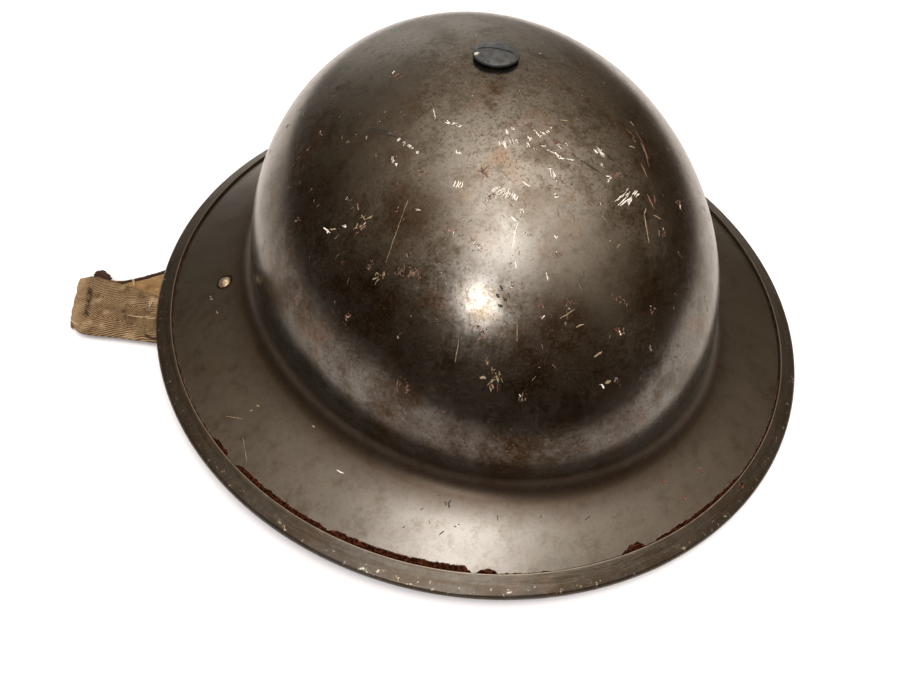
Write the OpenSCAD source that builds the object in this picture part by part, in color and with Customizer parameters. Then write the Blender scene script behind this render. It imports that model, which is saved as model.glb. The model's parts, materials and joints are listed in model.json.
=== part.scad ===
// Brimmed steel helmet with its crown screw, riveted liner and two-part webbing chinstrap.
// Origin: centre of the rim plane. +Z is up to the crown, -Y is the front, +X the wearer's left.

/* [Rim and brim] */
// Width over the rim band, side to side
rim_width = 288.2; // [280:1:296]
// Length over the rim band, front to back
rim_length = 305; // [298:1:312]
// Height of the virtual corner between bowl wall and brim
junction_z = 18.7; // [16:0.5:21]
// Radius of the pressed fillet between bowl and brim
fillet_r = 11; // [8:0.5:13]
// Thickness of the manganese steel sheet
shell_t = 1.2; // [1:0.1:1.5]
// Width of the rim band's legs
band_w = 7.2; // [6:0.2:9]
// Sheet thickness of the rim band
band_t = 1.15; // [0.9:0.05:1.3]

/* [Bowl] */
// Width of the bowl at its base
bowl_width = 198.2; // [192:1:202]
// Length of the bowl at its base
bowl_length = 240.1; // [236:1:246]
// Height of the bowl's crown above the rim plane
crown_height = 116.7; // [112:1:122]
// Height at which the bowl's ellipse is fullest
bowl_base_z = 21.6; // [20:0.2:23]
// Shift of the bowl towards the back
bowl_shift = 0.9; // [0:0.1:2]
// Squareness of the bowl in plan distance
bowl_p = 2.11; // [2:0.05:2.3]
// Squareness of the bowl in height
bowl_q = 1.89; // [1.8:0.05:2.1]

/* [Crown screw] */
// Diameter of the domed screw head
head_d = 17; // [15:0.5:20]
// Height of the dome
head_h = 2.6; // [2:0.1:3.5]
// Width of the driving slot
slot_w = 0.8; // [0.6:0.1:1.2]
// Length of the blind driving slot
slot_l = 13; // [10:0.5:14]
// Diameter of the screw's shank
shank_d = 6; // [5:0.5:7]
// Diameter of the washer under the head
washer_d = 16; // [14:0.5:18]
// Thickness of the washer under the head
washer_t = 0.8; // [0.6:0.1:1.2]

/* [Liner] */
// Radial gap from the bowl to the head band
liner_gap = 14; // [13:0.5:16]
// Height of the head band
headband_h = 30; // [26:1:34]
// Height of the head band's lower edge
headband_z = 8; // [7:0.5:11]
// Thickness of the fibre head band
headband_t = 1.5; // [1.2:0.1:2]
// Thickness of the leathercloth sweat band
sweat_t = 1.6; // [1.2:0.1:2]
// Number of tongues on the sweat band
tongue_count = 8; // [6:1:10]
// Width of the two crossed straps
cross_w = 28; // [22:1:32]
// Thickness of the crossed straps
cross_t = 1.6; // [1.2:0.1:2.2]
// Thickness of the rubber pad in the crown
pad_t = 6; // [4:0.5:8]
// Thickness of the felt pad under the cross
felt_t = 5; // [4:0.5:7]
// Outer diameter of the rubber buffers
buffer_d = 11; // [9:0.5:11.5]
// Height of the rubber buffers
buffer_h = 18; // [14:1:20]
// Diameter of the liner's small rivets
liner_rivet_d = 3; // [2.5:0.1:3.5]

/* [Strap fittings] */
// Angle of the strap lugs behind the side axis
lug_angle = 9.4; // [6:0.2:12]
// Distance of the lug rivets outside the bowl's base
lug_out = 12.9; // [12.5:0.1:16]
// Diameter of the lug rivets' domed heads
rivet_head_d = 6; // [5:0.2:7]
// Diameter of the bail wire
wire_d = 2.4; // [2:0.1:2.8]
// Distance between the bail's two bars
bail_span = 5.7; // [5.6:0.1:6.2]
// Width of the chinstrap webbing
strap_w = 25; // [22:0.5:26]
// Thickness of the chinstrap webbing
strap_t = 1.8; // [1.5:0.1:2]
// Thickness of the strap's return ply
tail_t = 1.6; // [1.3:0.1:1.8]
// Inside reach of the stored right strap from the lug
right_reach = 160; // [120:5:170]
// Thickness of the buckle frame
buckle_t = 2; // [1.6:0.1:2.4]

/* [Hidden] */
$fn = 48;

// Clearances
fit_gap = 0.05;
run_gap = 0.15;
soft_gap = 0.3;

// Shell sizes that follow from the driving ones
rim_x = rim_width / 2;
rim_y = rim_length / 2;
bowl_x = bowl_width / 2;
bowl_y = bowl_length / 2;
edge_r = shell_t / 2 + fit_gap + band_t;
edge_top = edge_r + shell_t / 2;
crown_hole_d = shank_d + 2 * run_gap;
shell_steps = 80;
bowl_rings = 13;
fillet_rings = 6;

// Level surface that the helmet lies on: under the right rim and under the strap's two plies
strap_stack = strap_t + tail_t + 3 * soft_gap;
function floor_z(x) = -strap_stack * (rim_x - x) / rim_width;

// Plan points on the rim and bowl ellipses
function rim_pt(a, inset) = [(rim_x - inset) * cos(a), (rim_y - inset) * sin(a)];
function bowl_pt(a, share, inset = 0) =
    [(bowl_x - inset) * share * cos(a), bowl_shift + (bowl_y - inset) * share * sin(a)];
function brim_run(a) = norm(rim_pt(a, edge_r) - bowl_pt(a, 1));
function brim_dir(a) = (rim_pt(a, edge_r) - bowl_pt(a, 1)) / brim_run(a);
function brim_slope(a) = atan((junction_z - edge_top) / brim_run(a));
function brim_pt(a, r, z) = let (p = bowl_pt(a, 1) + brim_dir(a) * r) [p[0], p[1], z];
function brim_top(a, r) = junction_z - r * tan(brim_slope(a));
function brim_under(a, r) = brim_top(a, r) - shell_t / cos(brim_slope(a));
function fillet_z(a) = junction_z + fillet_r * tan((90 - brim_slope(a)) / 2);

// Superellipse meridian of the bowl, at an inset and a parameter angle from the crown
function bowl_ring(a, psi, inset) =
    let (p = bowl_pt(a, pow(sin(psi), 2 / bowl_p), inset),
         h = crown_height - inset - bowl_base_z)
    [p[0], p[1], bowl_base_z + h * pow(cos(psi), 2 / bowl_q)];
function bowl_end(a, inset) =
    acos(pow((fillet_z(a) - bowl_base_z) / (crown_height - inset - bowl_base_z), bowl_q / 2));
bore_psi = 2;
function bowl_points(a, inset) = [for (k = [0:bowl_rings - 1])
    bowl_ring(a, bore_psi + (bowl_end(a, inset) - bore_psi) * k / bowl_rings, inset)];
function fillet_points(a, extra) = [for (k = [0:fillet_rings])
    let (t = 180 + (90 - brim_slope(a)) * k / fillet_rings, r = fillet_r + extra)
    brim_pt(a, fillet_r + r * cos(t), fillet_z(a) + r * sin(t))];
function shell_section(a) = concat(
    bowl_points(a, 0),
    fillet_points(a, 0),
    [brim_pt(a, brim_run(a), brim_top(a, brim_run(a))),
     brim_pt(a, brim_run(a), brim_under(a, brim_run(a)))],
    reverse(fillet_points(a, shell_t)),
    reverse(bowl_points(a, shell_t)));

// U-shaped section of the rim band, folded over the brim's edge
fold_steps = 6;
fold_end = -60;
function band_section(a) =
    let (run = brim_run(a), inner = run - (band_w - edge_r), s = brim_slope(a),
         lift = (fit_gap + band_t) / cos(s), mid = edge_r)
    concat(
        [brim_pt(a, inner, brim_top(a, inner) + fit_gap),
         brim_pt(a, inner, brim_top(a, inner) + lift)],
        [for (k = [0:fold_steps]) let (t = 90 - s - (90 - s - fold_end) * k / fold_steps)
            brim_pt(a, run + edge_r * cos(t), mid + edge_r * sin(t))],
        [brim_pt(a, run + edge_r * 0.35, 0),
         brim_pt(a, run - edge_r * 0.35, 0),
         brim_pt(a, inner, brim_under(a, inner) - lift),
         brim_pt(a, inner, brim_under(a, inner) - fit_gap),
         brim_pt(a, run + fit_gap, brim_under(a, run) - fit_gap),
         brim_pt(a, run + fit_gap, brim_top(a, run) + fit_gap)]);

function reverse(v) = [for (i = [len(v) - 1:-1:0]) v[i]];
function flat(v) = [for (part = v) for (item = part) item];

// Closed solid round the vertical axis from one section per angle
module ring_solid(sections) {
    n = len(sections);
    m = len(sections[0]);
    polyhedron(points = flat(sections), faces = flat([for (i = [0:n - 1]) for (j = [0:m - 1])
        let (a = i * m + j, b = i * m + (j + 1) % m,
             c = ((i + 1) % n) * m + (j + 1) % m, d = ((i + 1) % n) * m + j)
        [[a, b, c], [a, c, d]]]));
}

// Closed solid along a route from one section per station, capped at both ends
module run_solid(sections) {
    n = len(sections);
    m = len(sections[0]);
    polyhedron(points = flat(sections), faces = concat(
        [[for (j = [m - 1:-1:0]) j]],
        [[for (j = [0:m - 1]) (n - 1) * m + j]],
        flat([for (i = [0:n - 2]) for (j = [0:m - 1])
            let (a = i * m + j, b = i * m + (j + 1) % m)
            [[a, b, b + m], [a, b + m, a + m]]])));
}

// Rectangular section of a flat strap between its two edges, thick about a middle height
function strap_ring(left, right, z_left, z_right, t) =
    [[left[0], left[1], z_left - t / 2], [right[0], right[1], z_right - t / 2],
     [right[0], right[1], z_right + t / 2], [left[0], left[1], z_left + t / 2]];

// Local frame of a strap lug: x outwards down the brim's underside, y along it, z square to it
lug_bowl_r = norm([bowl_x * cos(lug_angle), bowl_y * sin(lug_angle)]);
lug_r = lug_bowl_r + lug_out;
lug_slope = brim_slope(lug_angle);
lug_z = junction_z - lug_out * tan(lug_slope) - shell_t / cos(lug_slope);
module at_side(side) {
    if (side < 0) mirror([1, 0, 0]) rotate([0, 0, lug_angle]) children();
    else rotate([0, 0, lug_angle]) children();
}
module at_lug(side) {
    at_side(side) translate([lug_r, 0, lug_z]) rotate([0, lug_slope, 0]) children();
}

// Lug plate, eye and bail, in the vertical plane through the lug
eye_wall = 0.95;
eye_x = -8;
eye_drop = 2.5;
eye_r = lug_r + eye_x * cos(lug_slope) - eye_drop * sin(lug_slope);
eye_z = lug_z - eye_x * sin(lug_slope) - eye_drop * cos(lug_slope);
plate_w = 15;
plate_t = 1.2;
// The flat plate stands off the curved brim
plate_gap = 0.4;
plate_out = 6;
eye_bore_r = wire_d / 2 + run_gap;
// Bail hangs outwards on the left, inwards on the right
bail_left_angle = -70;
bail_right_angle = -110;
function bar_r(angle) = eye_r + bail_span * cos(angle);
function bar_z(angle) = eye_z + bail_span * sin(angle);
loop_bore_r = wire_d / 2 + run_gap;
loop_r = loop_bore_r + strap_t;

module shell() {
    color("#4a4233") difference() {
        ring_solid([for (i = [0:shell_steps - 1]) shell_section(360 * i / shell_steps)]);
        translate([0, bowl_shift, crown_height - 4 * shell_t]) cylinder(d = crown_hole_d, h = 6 * shell_t);
        for (side = [-1, 1]) at_lug(side)
            translate([0, 0, -shell_t]) cylinder(d = liner_rivet_d + 2 * fit_gap, h = 4 * shell_t);
    }
}

module rim_band() {
    color("#51493a") ring_solid([for (i = [0:shell_steps - 1]) band_section(360 * i / shell_steps)]);
}

// Crown stack, from the head down: washer, shell, rubber pad, cross, plate, nut
head_z = crown_height + washer_t + fit_gap;
pad_top = crown_height - shell_t - 0.3;
cross_top = pad_top - pad_t - fit_gap;
plate_top = cross_top - 2 * cross_t - 3 * fit_gap;
crown_plate_t = 1.2;
crown_plate_d = 26;
nut_h = 4;
nut_af = 11;
nut_top = plate_top - crown_plate_t - fit_gap;
shank_end = nut_top - nut_h - 1.5;
head_edge = 0.9;
dome_r = (pow(head_d / 2, 2) + pow(head_h - head_edge, 2)) / (2 * (head_h - head_edge));
slot_angle = -29;
slot_depth = 1.3;

module at_crown() translate([0, bowl_shift, 0]) children();

module crown_screw() {
    color("#26282a") at_crown() {
        difference() {
            translate([0, 0, head_z]) intersection() {
                cylinder(d = head_d, h = head_h);
                translate([0, 0, head_h - dome_r]) sphere(r = dome_r, $fn = 96);
            }
            rotate([0, 0, slot_angle]) translate([-slot_l / 2, -slot_w / 2, head_z + head_h - slot_depth])
                cube([slot_l, slot_w, slot_depth + 1]);
        }
        translate([0, 0, shank_end]) cylinder(d = shank_d, h = head_z - shank_end + 0.2);
    }
}

module ring(outer_d, bore_d, h) {
    difference() {
        cylinder(d = outer_d, h = h);
        translate([0, 0, -1]) cylinder(d = bore_d, h = h + 2);
    }
}

module crown_washer() {
    color("#1d1d1d") at_crown() translate([0, 0, crown_height]) ring(washer_d, crown_hole_d, washer_t);
}

module crown_nut() {
    color("#6b655a") at_crown() translate([0, 0, nut_top - nut_h]) difference() {
        cylinder(d = nut_af / cos(30), h = nut_h, $fn = 6);
        translate([0, 0, -1]) cylinder(d = shank_d + 2 * fit_gap, h = nut_h + 2);
    }
}

module crown_plate() {
    color("#5d574c") at_crown() translate([0, 0, plate_top - crown_plate_t])
        ring(crown_plate_d, crown_hole_d, crown_plate_t);
}

// Cruciform rubber pad between the bowl and the liner's crossing
pad_arm_w = 24;
pad_arm_l = 52;
pad_edge_drop = 3.4;
pad_dome_r = (pow(pad_arm_l / 2, 2) + pow(pad_edge_drop, 2)) / (2 * pad_edge_drop);
module crown_rubber_pad() {
    color("#2b2926") at_crown() difference() {
        intersection() {
            translate([0, 0, pad_top - pad_t]) union() {
                for (turn = [0, 90]) rotate([0, 0, turn])
                    translate([-pad_arm_l / 2, -pad_arm_w / 2, 0]) cube([pad_arm_l, pad_arm_w, pad_t]);
            }
            translate([0, 0, pad_top - pad_dome_r]) sphere(r = pad_dome_r, $fn = 96);
        }
        translate([0, 0, pad_top - 2 * pad_t]) cylinder(d = crown_hole_d, h = 3 * pad_t);
    }
}

// Head band: an oval ring inside the bowl
band_x = bowl_x - shell_t - liner_gap;
band_y = bowl_y - shell_t - liner_gap;
headband_top = headband_z + headband_h;
liner_steps = 72;
function oval_pt(a, inset, z) =
    [(band_x - inset) * cos(a), bowl_shift + (band_y - inset) * sin(a), z];
function oval_section(a, inset, t, z0, z1) =
    [oval_pt(a, inset, z0), oval_pt(a, inset, z1), oval_pt(a, inset + t, z1), oval_pt(a, inset + t, z0)];

module headband() {
    color("#3a2f24") difference() {
        ring_solid([for (i = [0:liner_steps - 1])
            oval_section(360 * i / liner_steps, 0, headband_t, headband_z, headband_top)]);
        for (a = [0:90:270]) cross_rivet_holes(a);
    }
}

// Cross straps: arcs from the head band's outside over the crown
cross_in = headband_t + fit_gap;
cross_foot = 12;
arch_rings = 20;
// Half width of the flat crossing that the plate clamps
cross_flat = cross_w / 2 + 2;
// Arch of one strap side, from the flat crossing at the crown to the head band
function arch_side(half, top) = concat([[0, top]], [for (k = [0:arch_rings])
    let (psi = 90 * k / arch_rings)
    [cross_flat + (half - cross_flat) * sin(psi), headband_top + (top - headband_top) * pow(cos(psi), 1.1)]]);
module cross_strap(half, top) {
    outer = arch_side(half, top);
    inner = arch_side(half - cross_t, top - cross_t);
    foot = headband_top - cross_foot;
    half_outline = concat(outer, [[half, foot], [half - cross_t, foot]], reverse(inner));
    for (side = [0, 1]) mirror([side, 0, 0])
        rotate([90, 0, 0]) translate([0, 0, -cross_w / 2]) linear_extrude(cross_w) polygon(half_outline);
}
// The straps stand outside the head band, a ply apart at the crown
foot_rivet_offset = 8;
foot_rivet_head_h = 0.9;
foot_rivet_z = headband_top - cross_foot / 2;
long_half = band_y + fit_gap + cross_t;
short_half = band_x + fit_gap + cross_t;
module cross_rivet_holes(a) {
    half = (a % 180 == 0) ? band_x : band_y;
    bore_l = 2 * headband_t + 2 * cross_t + 2;
    for (offset = [-foot_rivet_offset, foot_rivet_offset]) translate([0, bowl_shift, 0]) rotate([0, 0, a])
        translate([half - 2 * headband_t, offset, foot_rivet_z])
        rotate([0, 90, 0]) cylinder(d = liner_rivet_d + 2 * fit_gap, h = bore_l);
}
module liner_cross_long() {
    color("#2f2a22") difference() {
        at_crown() rotate([0, 0, 90]) cross_strap(long_half, cross_top);
        at_crown() translate([0, 0, cross_top - 10]) cylinder(d = crown_hole_d, h = 20);
        for (a = [90, 270]) cross_rivet_holes(a);
    }
}
module liner_cross_short() {
    color("#2f2a22") difference() {
        at_crown() cross_strap(short_half, cross_top - cross_t - fit_gap);
        at_crown() translate([0, 0, cross_top - 12]) cylinder(d = crown_hole_d, h = 20);
        for (a = [0, 180]) cross_rivet_holes(a);
    }
}

// Dished felt pad under the crossing, with a well for plate and nut
felt_d = 86;
felt_drop = 7;
felt_top = plate_top - soft_gap;
felt_dome_r = (pow(felt_d / 2, 2) + pow(felt_drop, 2)) / (2 * felt_drop);
well_d = crown_plate_d + 2;
module crown_felt_pad() {
    color("#7c7460") at_crown() difference() {
        intersection() {
            translate([0, 0, felt_top - felt_drop - felt_t]) ring(felt_d, well_d, felt_drop + felt_t);
            translate([0, 0, felt_top - felt_dome_r]) sphere(r = felt_dome_r, $fn = 96);
        }
        translate([0, 0, felt_top - felt_t - felt_dome_r]) sphere(r = felt_dome_r, $fn = 96);
    }
}

// Sweat band: an oval ring with tongues that lean in towards the crown
sweat_in = headband_t + soft_gap;
tongue_h = 26;
tongue_lean = 17;
tongue_share = 0.84;
lace_r = 1;
module tongue(a0, a1) {
    steps = 6;
    run_solid([for (k = [0:steps])
        let (a = a0 + (a1 - a0) * k / steps,
             edge = abs(2 * k / steps - 1), h = tongue_h * (1 - 0.22 * edge * edge),
             lean = tongue_lean * h / tongue_h, low = headband_top - 3)
        [oval_pt(a, sweat_in, low), oval_pt(a, sweat_in + lean, headband_top + h),
         oval_pt(a, sweat_in + lean + sweat_t, headband_top + h - 0.6),
         oval_pt(a, sweat_in + sweat_t, low)]]);
}
module sweatband() {
    pitch = 360 / tongue_count;
    color("#4b3524") union() {
        ring_solid([for (i = [0:liner_steps - 1])
            oval_section(360 * i / liner_steps, sweat_in, sweat_t, headband_z - 1, headband_top - 2)]);
        for (i = [0:tongue_count - 1])
            tongue((i + 0.5 - tongue_share / 2) * pitch, (i + 0.5 + tongue_share / 2) * pitch);
    }
}

// Lace through the tongues' tips: one oval cord lying just inside them
lace_inset = sweat_in + tongue_lean + sweat_t + lace_r + soft_gap - 2.6;
lace_z = headband_top + tongue_h - 5;
module tongue_lace() {
    color("#8a8069") ring_solid([for (i = [0:63]) let (a = 360 * i / 64)
        [for (t = [0:60:300]) oval_pt(a, lace_inset + lace_r * cos(t), lace_z + lace_r * sin(t))]]);
}

// Upright rubber buffers between the head band and the bowl
buffer_z = 17;
buffer_angles = [28, 58, 122, 152, 208, 238, 302, 332];
module band_buffers() {
    color("#23211f") for (a = buffer_angles)
        translate(oval_pt(a, -(buffer_d / 2 + soft_gap), buffer_z)) difference() {
            cylinder(d = buffer_d, h = buffer_h);
            translate([0, 0, -1]) cylinder(d = 3.4, h = buffer_h + 2);
        }
}

// Rivets that hold the four strap feet to the head band
module liner_rivets() {
    grip = cross_t + headband_t;
    color("#77705f") for (a = [0:90:270]) for (offset = [-foot_rivet_offset, foot_rivet_offset])
        translate([0, bowl_shift, 0]) rotate([0, 0, a])
        translate([((a % 180 == 0) ? short_half : long_half) + fit_gap, offset, foot_rivet_z])
        rotate([0, 90, 0]) {
            translate([0, 0, -grip]) cylinder(d = liner_rivet_d, h = grip + foot_rivet_head_h / 2);
            cylinder(d = 2 * liner_rivet_d, h = foot_rivet_head_h);
        }
}

// Strap lug: a riveted plate with a rolled eye
module strap_lug(side) {
    color("#45402f") at_lug(side) difference() {
        union() {
            translate([eye_x, -plate_w / 2, -plate_t - plate_gap])
                cube([plate_out - eye_x, plate_w, plate_t]);
            translate([eye_x, plate_w / 2, -eye_drop]) rotate([90, 0, 0])
                cylinder(r = eye_bore_r + eye_wall, h = plate_w);
        }
        translate([eye_x, plate_w, -eye_drop]) rotate([90, 0, 0]) cylinder(r = eye_bore_r, h = 2 * plate_w);
        translate([0, 0, -2 * plate_t]) cylinder(d = liner_rivet_d + 2 * fit_gap, h = 3 * plate_t);
    }
}
module strap_lug_left() strap_lug(-1);
module strap_lug_right() strap_lug(1);

// Lug rivet: domed head outside, flat tail under the plate
dome_h = 1.6;
rivet_dome_r = (pow(rivet_head_d / 2, 2) + pow(dome_h, 2)) / (2 * dome_h);
rivet_tail_h = 0.8;
module lug_rivet(side) {
    tail_top = -plate_t - plate_gap - fit_gap;
    color("#4a4233") at_lug(side) {
        translate([0, 0, tail_top - rivet_tail_h / 2])
            cylinder(d = liner_rivet_d, h = shell_t + rivet_tail_h - tail_top);
        translate([0, 0, tail_top - rivet_tail_h]) cylinder(d = 1.6 * liner_rivet_d, h = rivet_tail_h);
        translate([0, 0, shell_t + fit_gap]) intersection() {
            cylinder(d = rivet_head_d, h = dome_h);
            translate([0, 0, dome_h - rivet_dome_r]) sphere(r = rivet_dome_r);
        }
    }
}
module lug_rivet_left() lug_rivet(-1);
module lug_rivet_right() lug_rivet(1);

// Wire bail: an oblong link of two straight bars joined by two round ends
module bail(side, angle) {
    half = strap_w / 2 + 1;
    color("#3d3a34") at_side(side) translate([eye_r, 0, eye_z]) rotate([0, -angle, 0]) union() {
        for (x = [0, bail_span])
            translate([x, half, 0]) rotate([90, 0, 0]) cylinder(d = wire_d, h = 2 * half);
        for (turn = [0, 180]) translate([bail_span / 2, (turn == 0 ? half : -half), 0])
            rotate([0, 0, turn]) rotate_extrude(angle = 180) translate([bail_span / 2, 0]) circle(d = wire_d);
    }
}
module bail_left() bail(-1, bail_left_angle);
module bail_right() bail(1, bail_right_angle);

// Strap loop round a bail's far bar, a hair narrower than the webbing
module strap_loop(side, angle) {
    loop_w = strap_w - 2 * fit_gap;
    at_side(side) translate([bar_r(angle), loop_w / 2, bar_z(angle)]) rotate([90, 0, 0])
        cylinder(r = loop_r, h = loop_w);
}
module strap_loop_bore(side, angle) {
    at_side(side) translate([bar_r(angle), strap_w, bar_z(angle)]) rotate([90, 0, 0])
        cylinder(r = loop_bore_r, h = 2 * strap_w);
}

// Left strap's upper ply: its two edges in plan at each station, from the fold in to the bail
half_w = strap_w / 2;
loop_out = loop_bore_r + strap_t / 2;
left_root = bar_r(bail_left_angle) + loop_out;
left_root_z = bar_z(bail_left_angle) - strap_t / 2 - run_gap;
function left_edge(r, across) =
    [-r * cos(lug_angle) + across * sin(lug_angle), r * sin(lug_angle) + across * cos(lug_angle)];
// Plan point outside the rim's left edge and behind the side axis, both in strap widths
function off_rim(out, back) = [-rim_x - out * strap_w, back * strap_w];
function upper_z(x) = floor_z(x) + strap_stack - soft_gap - strap_t / 2;
// The fold line, which both plies stop short of
fold_back = [0.15, 0];
fold_edges = [off_rim(1.244, 2.128) + fold_back, off_rim(1.408, 0.96) + fold_back];
upper_plies = [
    fold_edges,
    [off_rim(0.996, 2.12), off_rim(1.256, 0.728)],
    [off_rim(0.656, 1.864), off_rim(0.676, 0.464)],
    [off_rim(0.28, 1.568), off_rim(0.252, 0.264)],
    [off_rim(-0.06, 1.292), off_rim(-0.012, 0.156)],
    [off_rim(-0.384, 1.184), off_rim(-0.344, 0.132)]];
left_end = [left_edge(left_root, half_w), left_edge(left_root, -half_w)];
module strap_left() {
    color("#8b7a5c") difference() {
        union() {
            strap_loop(-1, bail_left_angle);
            run_solid(concat(
                [for (s = upper_plies) strap_ring(s[0], s[1], upper_z(s[0][0]), upper_z(s[1][0]), strap_t)],
                [strap_ring(left_end[0], left_end[1], left_root_z, left_root_z, strap_t)]));
        }
        strap_loop_bore(-1, bail_left_angle);
    }
}

// Left strap's return ply, from the fold back under the rim to the buckle
tail_x = off_rim(-1.044, 0)[0];
tail_y = 1.56 * strap_w;
buckle_bar_r = 1.1;
tail_loop_wall = 1.2;
tail_loop_r = buckle_bar_r + run_gap + tail_loop_wall;
tail_z = floor_z(tail_x) + soft_gap / 2 + tail_loop_r;
function ply_z(x) = floor_z(x) + soft_gap / 2 + tail_t / 2;
tail_plies = [
    fold_edges,
    [off_rim(0.956, 2.104), off_rim(1.056, 0.936)],
    [off_rim(0.596, 1.976), off_rim(0.636, 0.912)],
    [off_rim(0.236, 1.936), off_rim(0.26, 0.912)],
    [off_rim(-0.224, 1.992), off_rim(-0.212, 0.976)],
    [off_rim(-0.644, 2.04), off_rim(-0.644, 1.04)],
    [[tail_x - tail_loop_r / 2, tail_y + half_w], [tail_x - tail_loop_r / 2, tail_y - half_w]]];
module strap_left_tail() {
    color("#9a7444") difference() {
        union() {
            run_solid([for (s = tail_plies) strap_ring(s[0], s[1], ply_z(s[0][0]), ply_z(s[1][0]), tail_t)]);
            translate([tail_x, tail_y + half_w, tail_z]) rotate([90, 0, 0])
                cylinder(r = tail_loop_r, h = strap_w);
        }
        translate([tail_x, tail_y + strap_w, tail_z]) rotate([90, 0, 0])
            cylinder(r = buckle_bar_r + run_gap, h = 2 * strap_w);
    }
}

// Friction buckle: a frame with a round hinge bar, a middle bar and an end bar
window = 3.4;
rail = 2.2;
buckle_w = strap_w + 2 * (rail + 0.6);
buckle_l = 2 * window + 2 * rail + buckle_bar_r;
module buckle_frame() {
    color("#2c2a27") translate([tail_x, tail_y, tail_z]) {
        translate([0, buckle_w / 2, 0]) rotate([90, 0, 0]) cylinder(r = buckle_bar_r, h = buckle_w);
        for (side = [-1, 1]) translate([0, side * (buckle_w - rail) / 2 - rail / 2, -buckle_t / 2])
            cube([buckle_l, rail, buckle_t]);
        for (x = [buckle_bar_r + window, buckle_l - rail])
            translate([x, -buckle_w / 2, -buckle_t / 2]) cube([rail, buckle_w, buckle_t]);
    }
}

// Right strap: from its bail down to the lying surface and inwards along it
right_dir = [-cos(lug_angle), -sin(lug_angle)];
right_side = [-sin(lug_angle), cos(lug_angle)];
function right_at(r) = [r * cos(lug_angle), r * sin(lug_angle)];
keeper_t = 0.9;
function lying_z(x) = floor_z(x) + soft_gap / 2 + keeper_t + soft_gap + strap_t / 2;
right_root = bar_r(bail_right_angle);
right_bar_z = bar_z(bail_right_angle);
lying_r = right_root - 18;
right_end = right_root - right_reach;
right_run = [
    [right_root - loop_out, right_bar_z - strap_t / 2 - run_gap],
    [right_root - 7, right_bar_z - 3],
    [right_root - 12.5, right_bar_z - 5.2],
    [lying_r, lying_z(right_at(lying_r)[0])],
    [right_end, lying_z(right_at(right_end)[0])]];
module strap_right() {
    color("#84745a") difference() {
        union() {
            strap_loop(1, bail_right_angle);
            run_solid([for (s = reverse(right_run)) let (p = right_at(s[0]))
                strap_ring(p + right_side * half_w, p - right_side * half_w, s[1], s[1], strap_t)]);
        }
        strap_loop_bore(1, bail_right_angle);
    }
}

// Frame that lies along the right strap: x inwards, z square to the lying surface
lying_tilt = atan(strap_stack / rim_width * cos(lug_angle));
module on_right_strap(r) {
    translate([right_at(r)[0], right_at(r)[1], lying_z(right_at(r)[0])])
        rotate([0, 0, 180 + lug_angle]) rotate([0, lying_tilt, 0]) children();
}
// Closed sleeve round the strap, centred on it in height
module sleeve(from, l, clear, wall) {
    w = strap_w + 2 * clear;
    h = strap_t + 2 * clear;
    difference() {
        translate([from, -w / 2 - wall, -h / 2 - wall]) cube([l, w + 2 * wall, h + 2 * wall]);
        translate([from - 1, -w / 2, -h / 2]) cube([l + 2, w, h]);
    }
}

// Metal tip pinched on the strap's end, shut at its outer end
tip_l = 12;
tip_wall = 0.4;
module strap_tip() {
    color("#8a7440") on_right_strap(right_end) {
        sleeve(fit_gap - tip_l, tip_l, fit_gap, tip_wall);
        translate([fit_gap, -half_w - fit_gap - tip_wall, -strap_t / 2 - fit_gap - tip_wall])
            cube([tip_wall, strap_w + 2 * (fit_gap + tip_wall), strap_t + 2 * (fit_gap + tip_wall)]);
    }
}

// Sliding keeper round the right strap
keeper_r = 20;
keeper_l = 8;
module strap_keeper() {
    color("#8a7440") on_right_strap(keeper_r) sleeve(-keeper_l / 2, keeper_l, soft_gap, keeper_t);
}

shell();
rim_band();
crown_screw();
crown_washer();
crown_nut();
crown_plate();
crown_rubber_pad();
crown_felt_pad();
liner_cross_long();
liner_cross_short();
headband();
sweatband();
tongue_lace();
band_buffers();
liner_rivets();
strap_lug_left();
strap_lug_right();
lug_rivet_left();
lug_rivet_right();
bail_left();
bail_right();
strap_left();
strap_left_tail();
buckle_frame();
strap_right();
strap_tip();
strap_keeper();
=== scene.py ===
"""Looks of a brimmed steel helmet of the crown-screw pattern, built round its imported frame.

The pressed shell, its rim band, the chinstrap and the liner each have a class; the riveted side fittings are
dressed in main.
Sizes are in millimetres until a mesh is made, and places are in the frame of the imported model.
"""

import functools
import json
import logging
from dataclasses import dataclass, field
from enum import Enum
from math import acos, asin, atan, atan2, cos, degrees, dist, hypot, pi, radians, sin, sqrt, tan, tau
from typing import Callable, Sequence

import bmesh
import bpy
import numpy as np
from bpy.types import Material, Node, NodeSocket as Socket, NodeTree, Object
from mathutils import Matrix, Vector, noise

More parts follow.
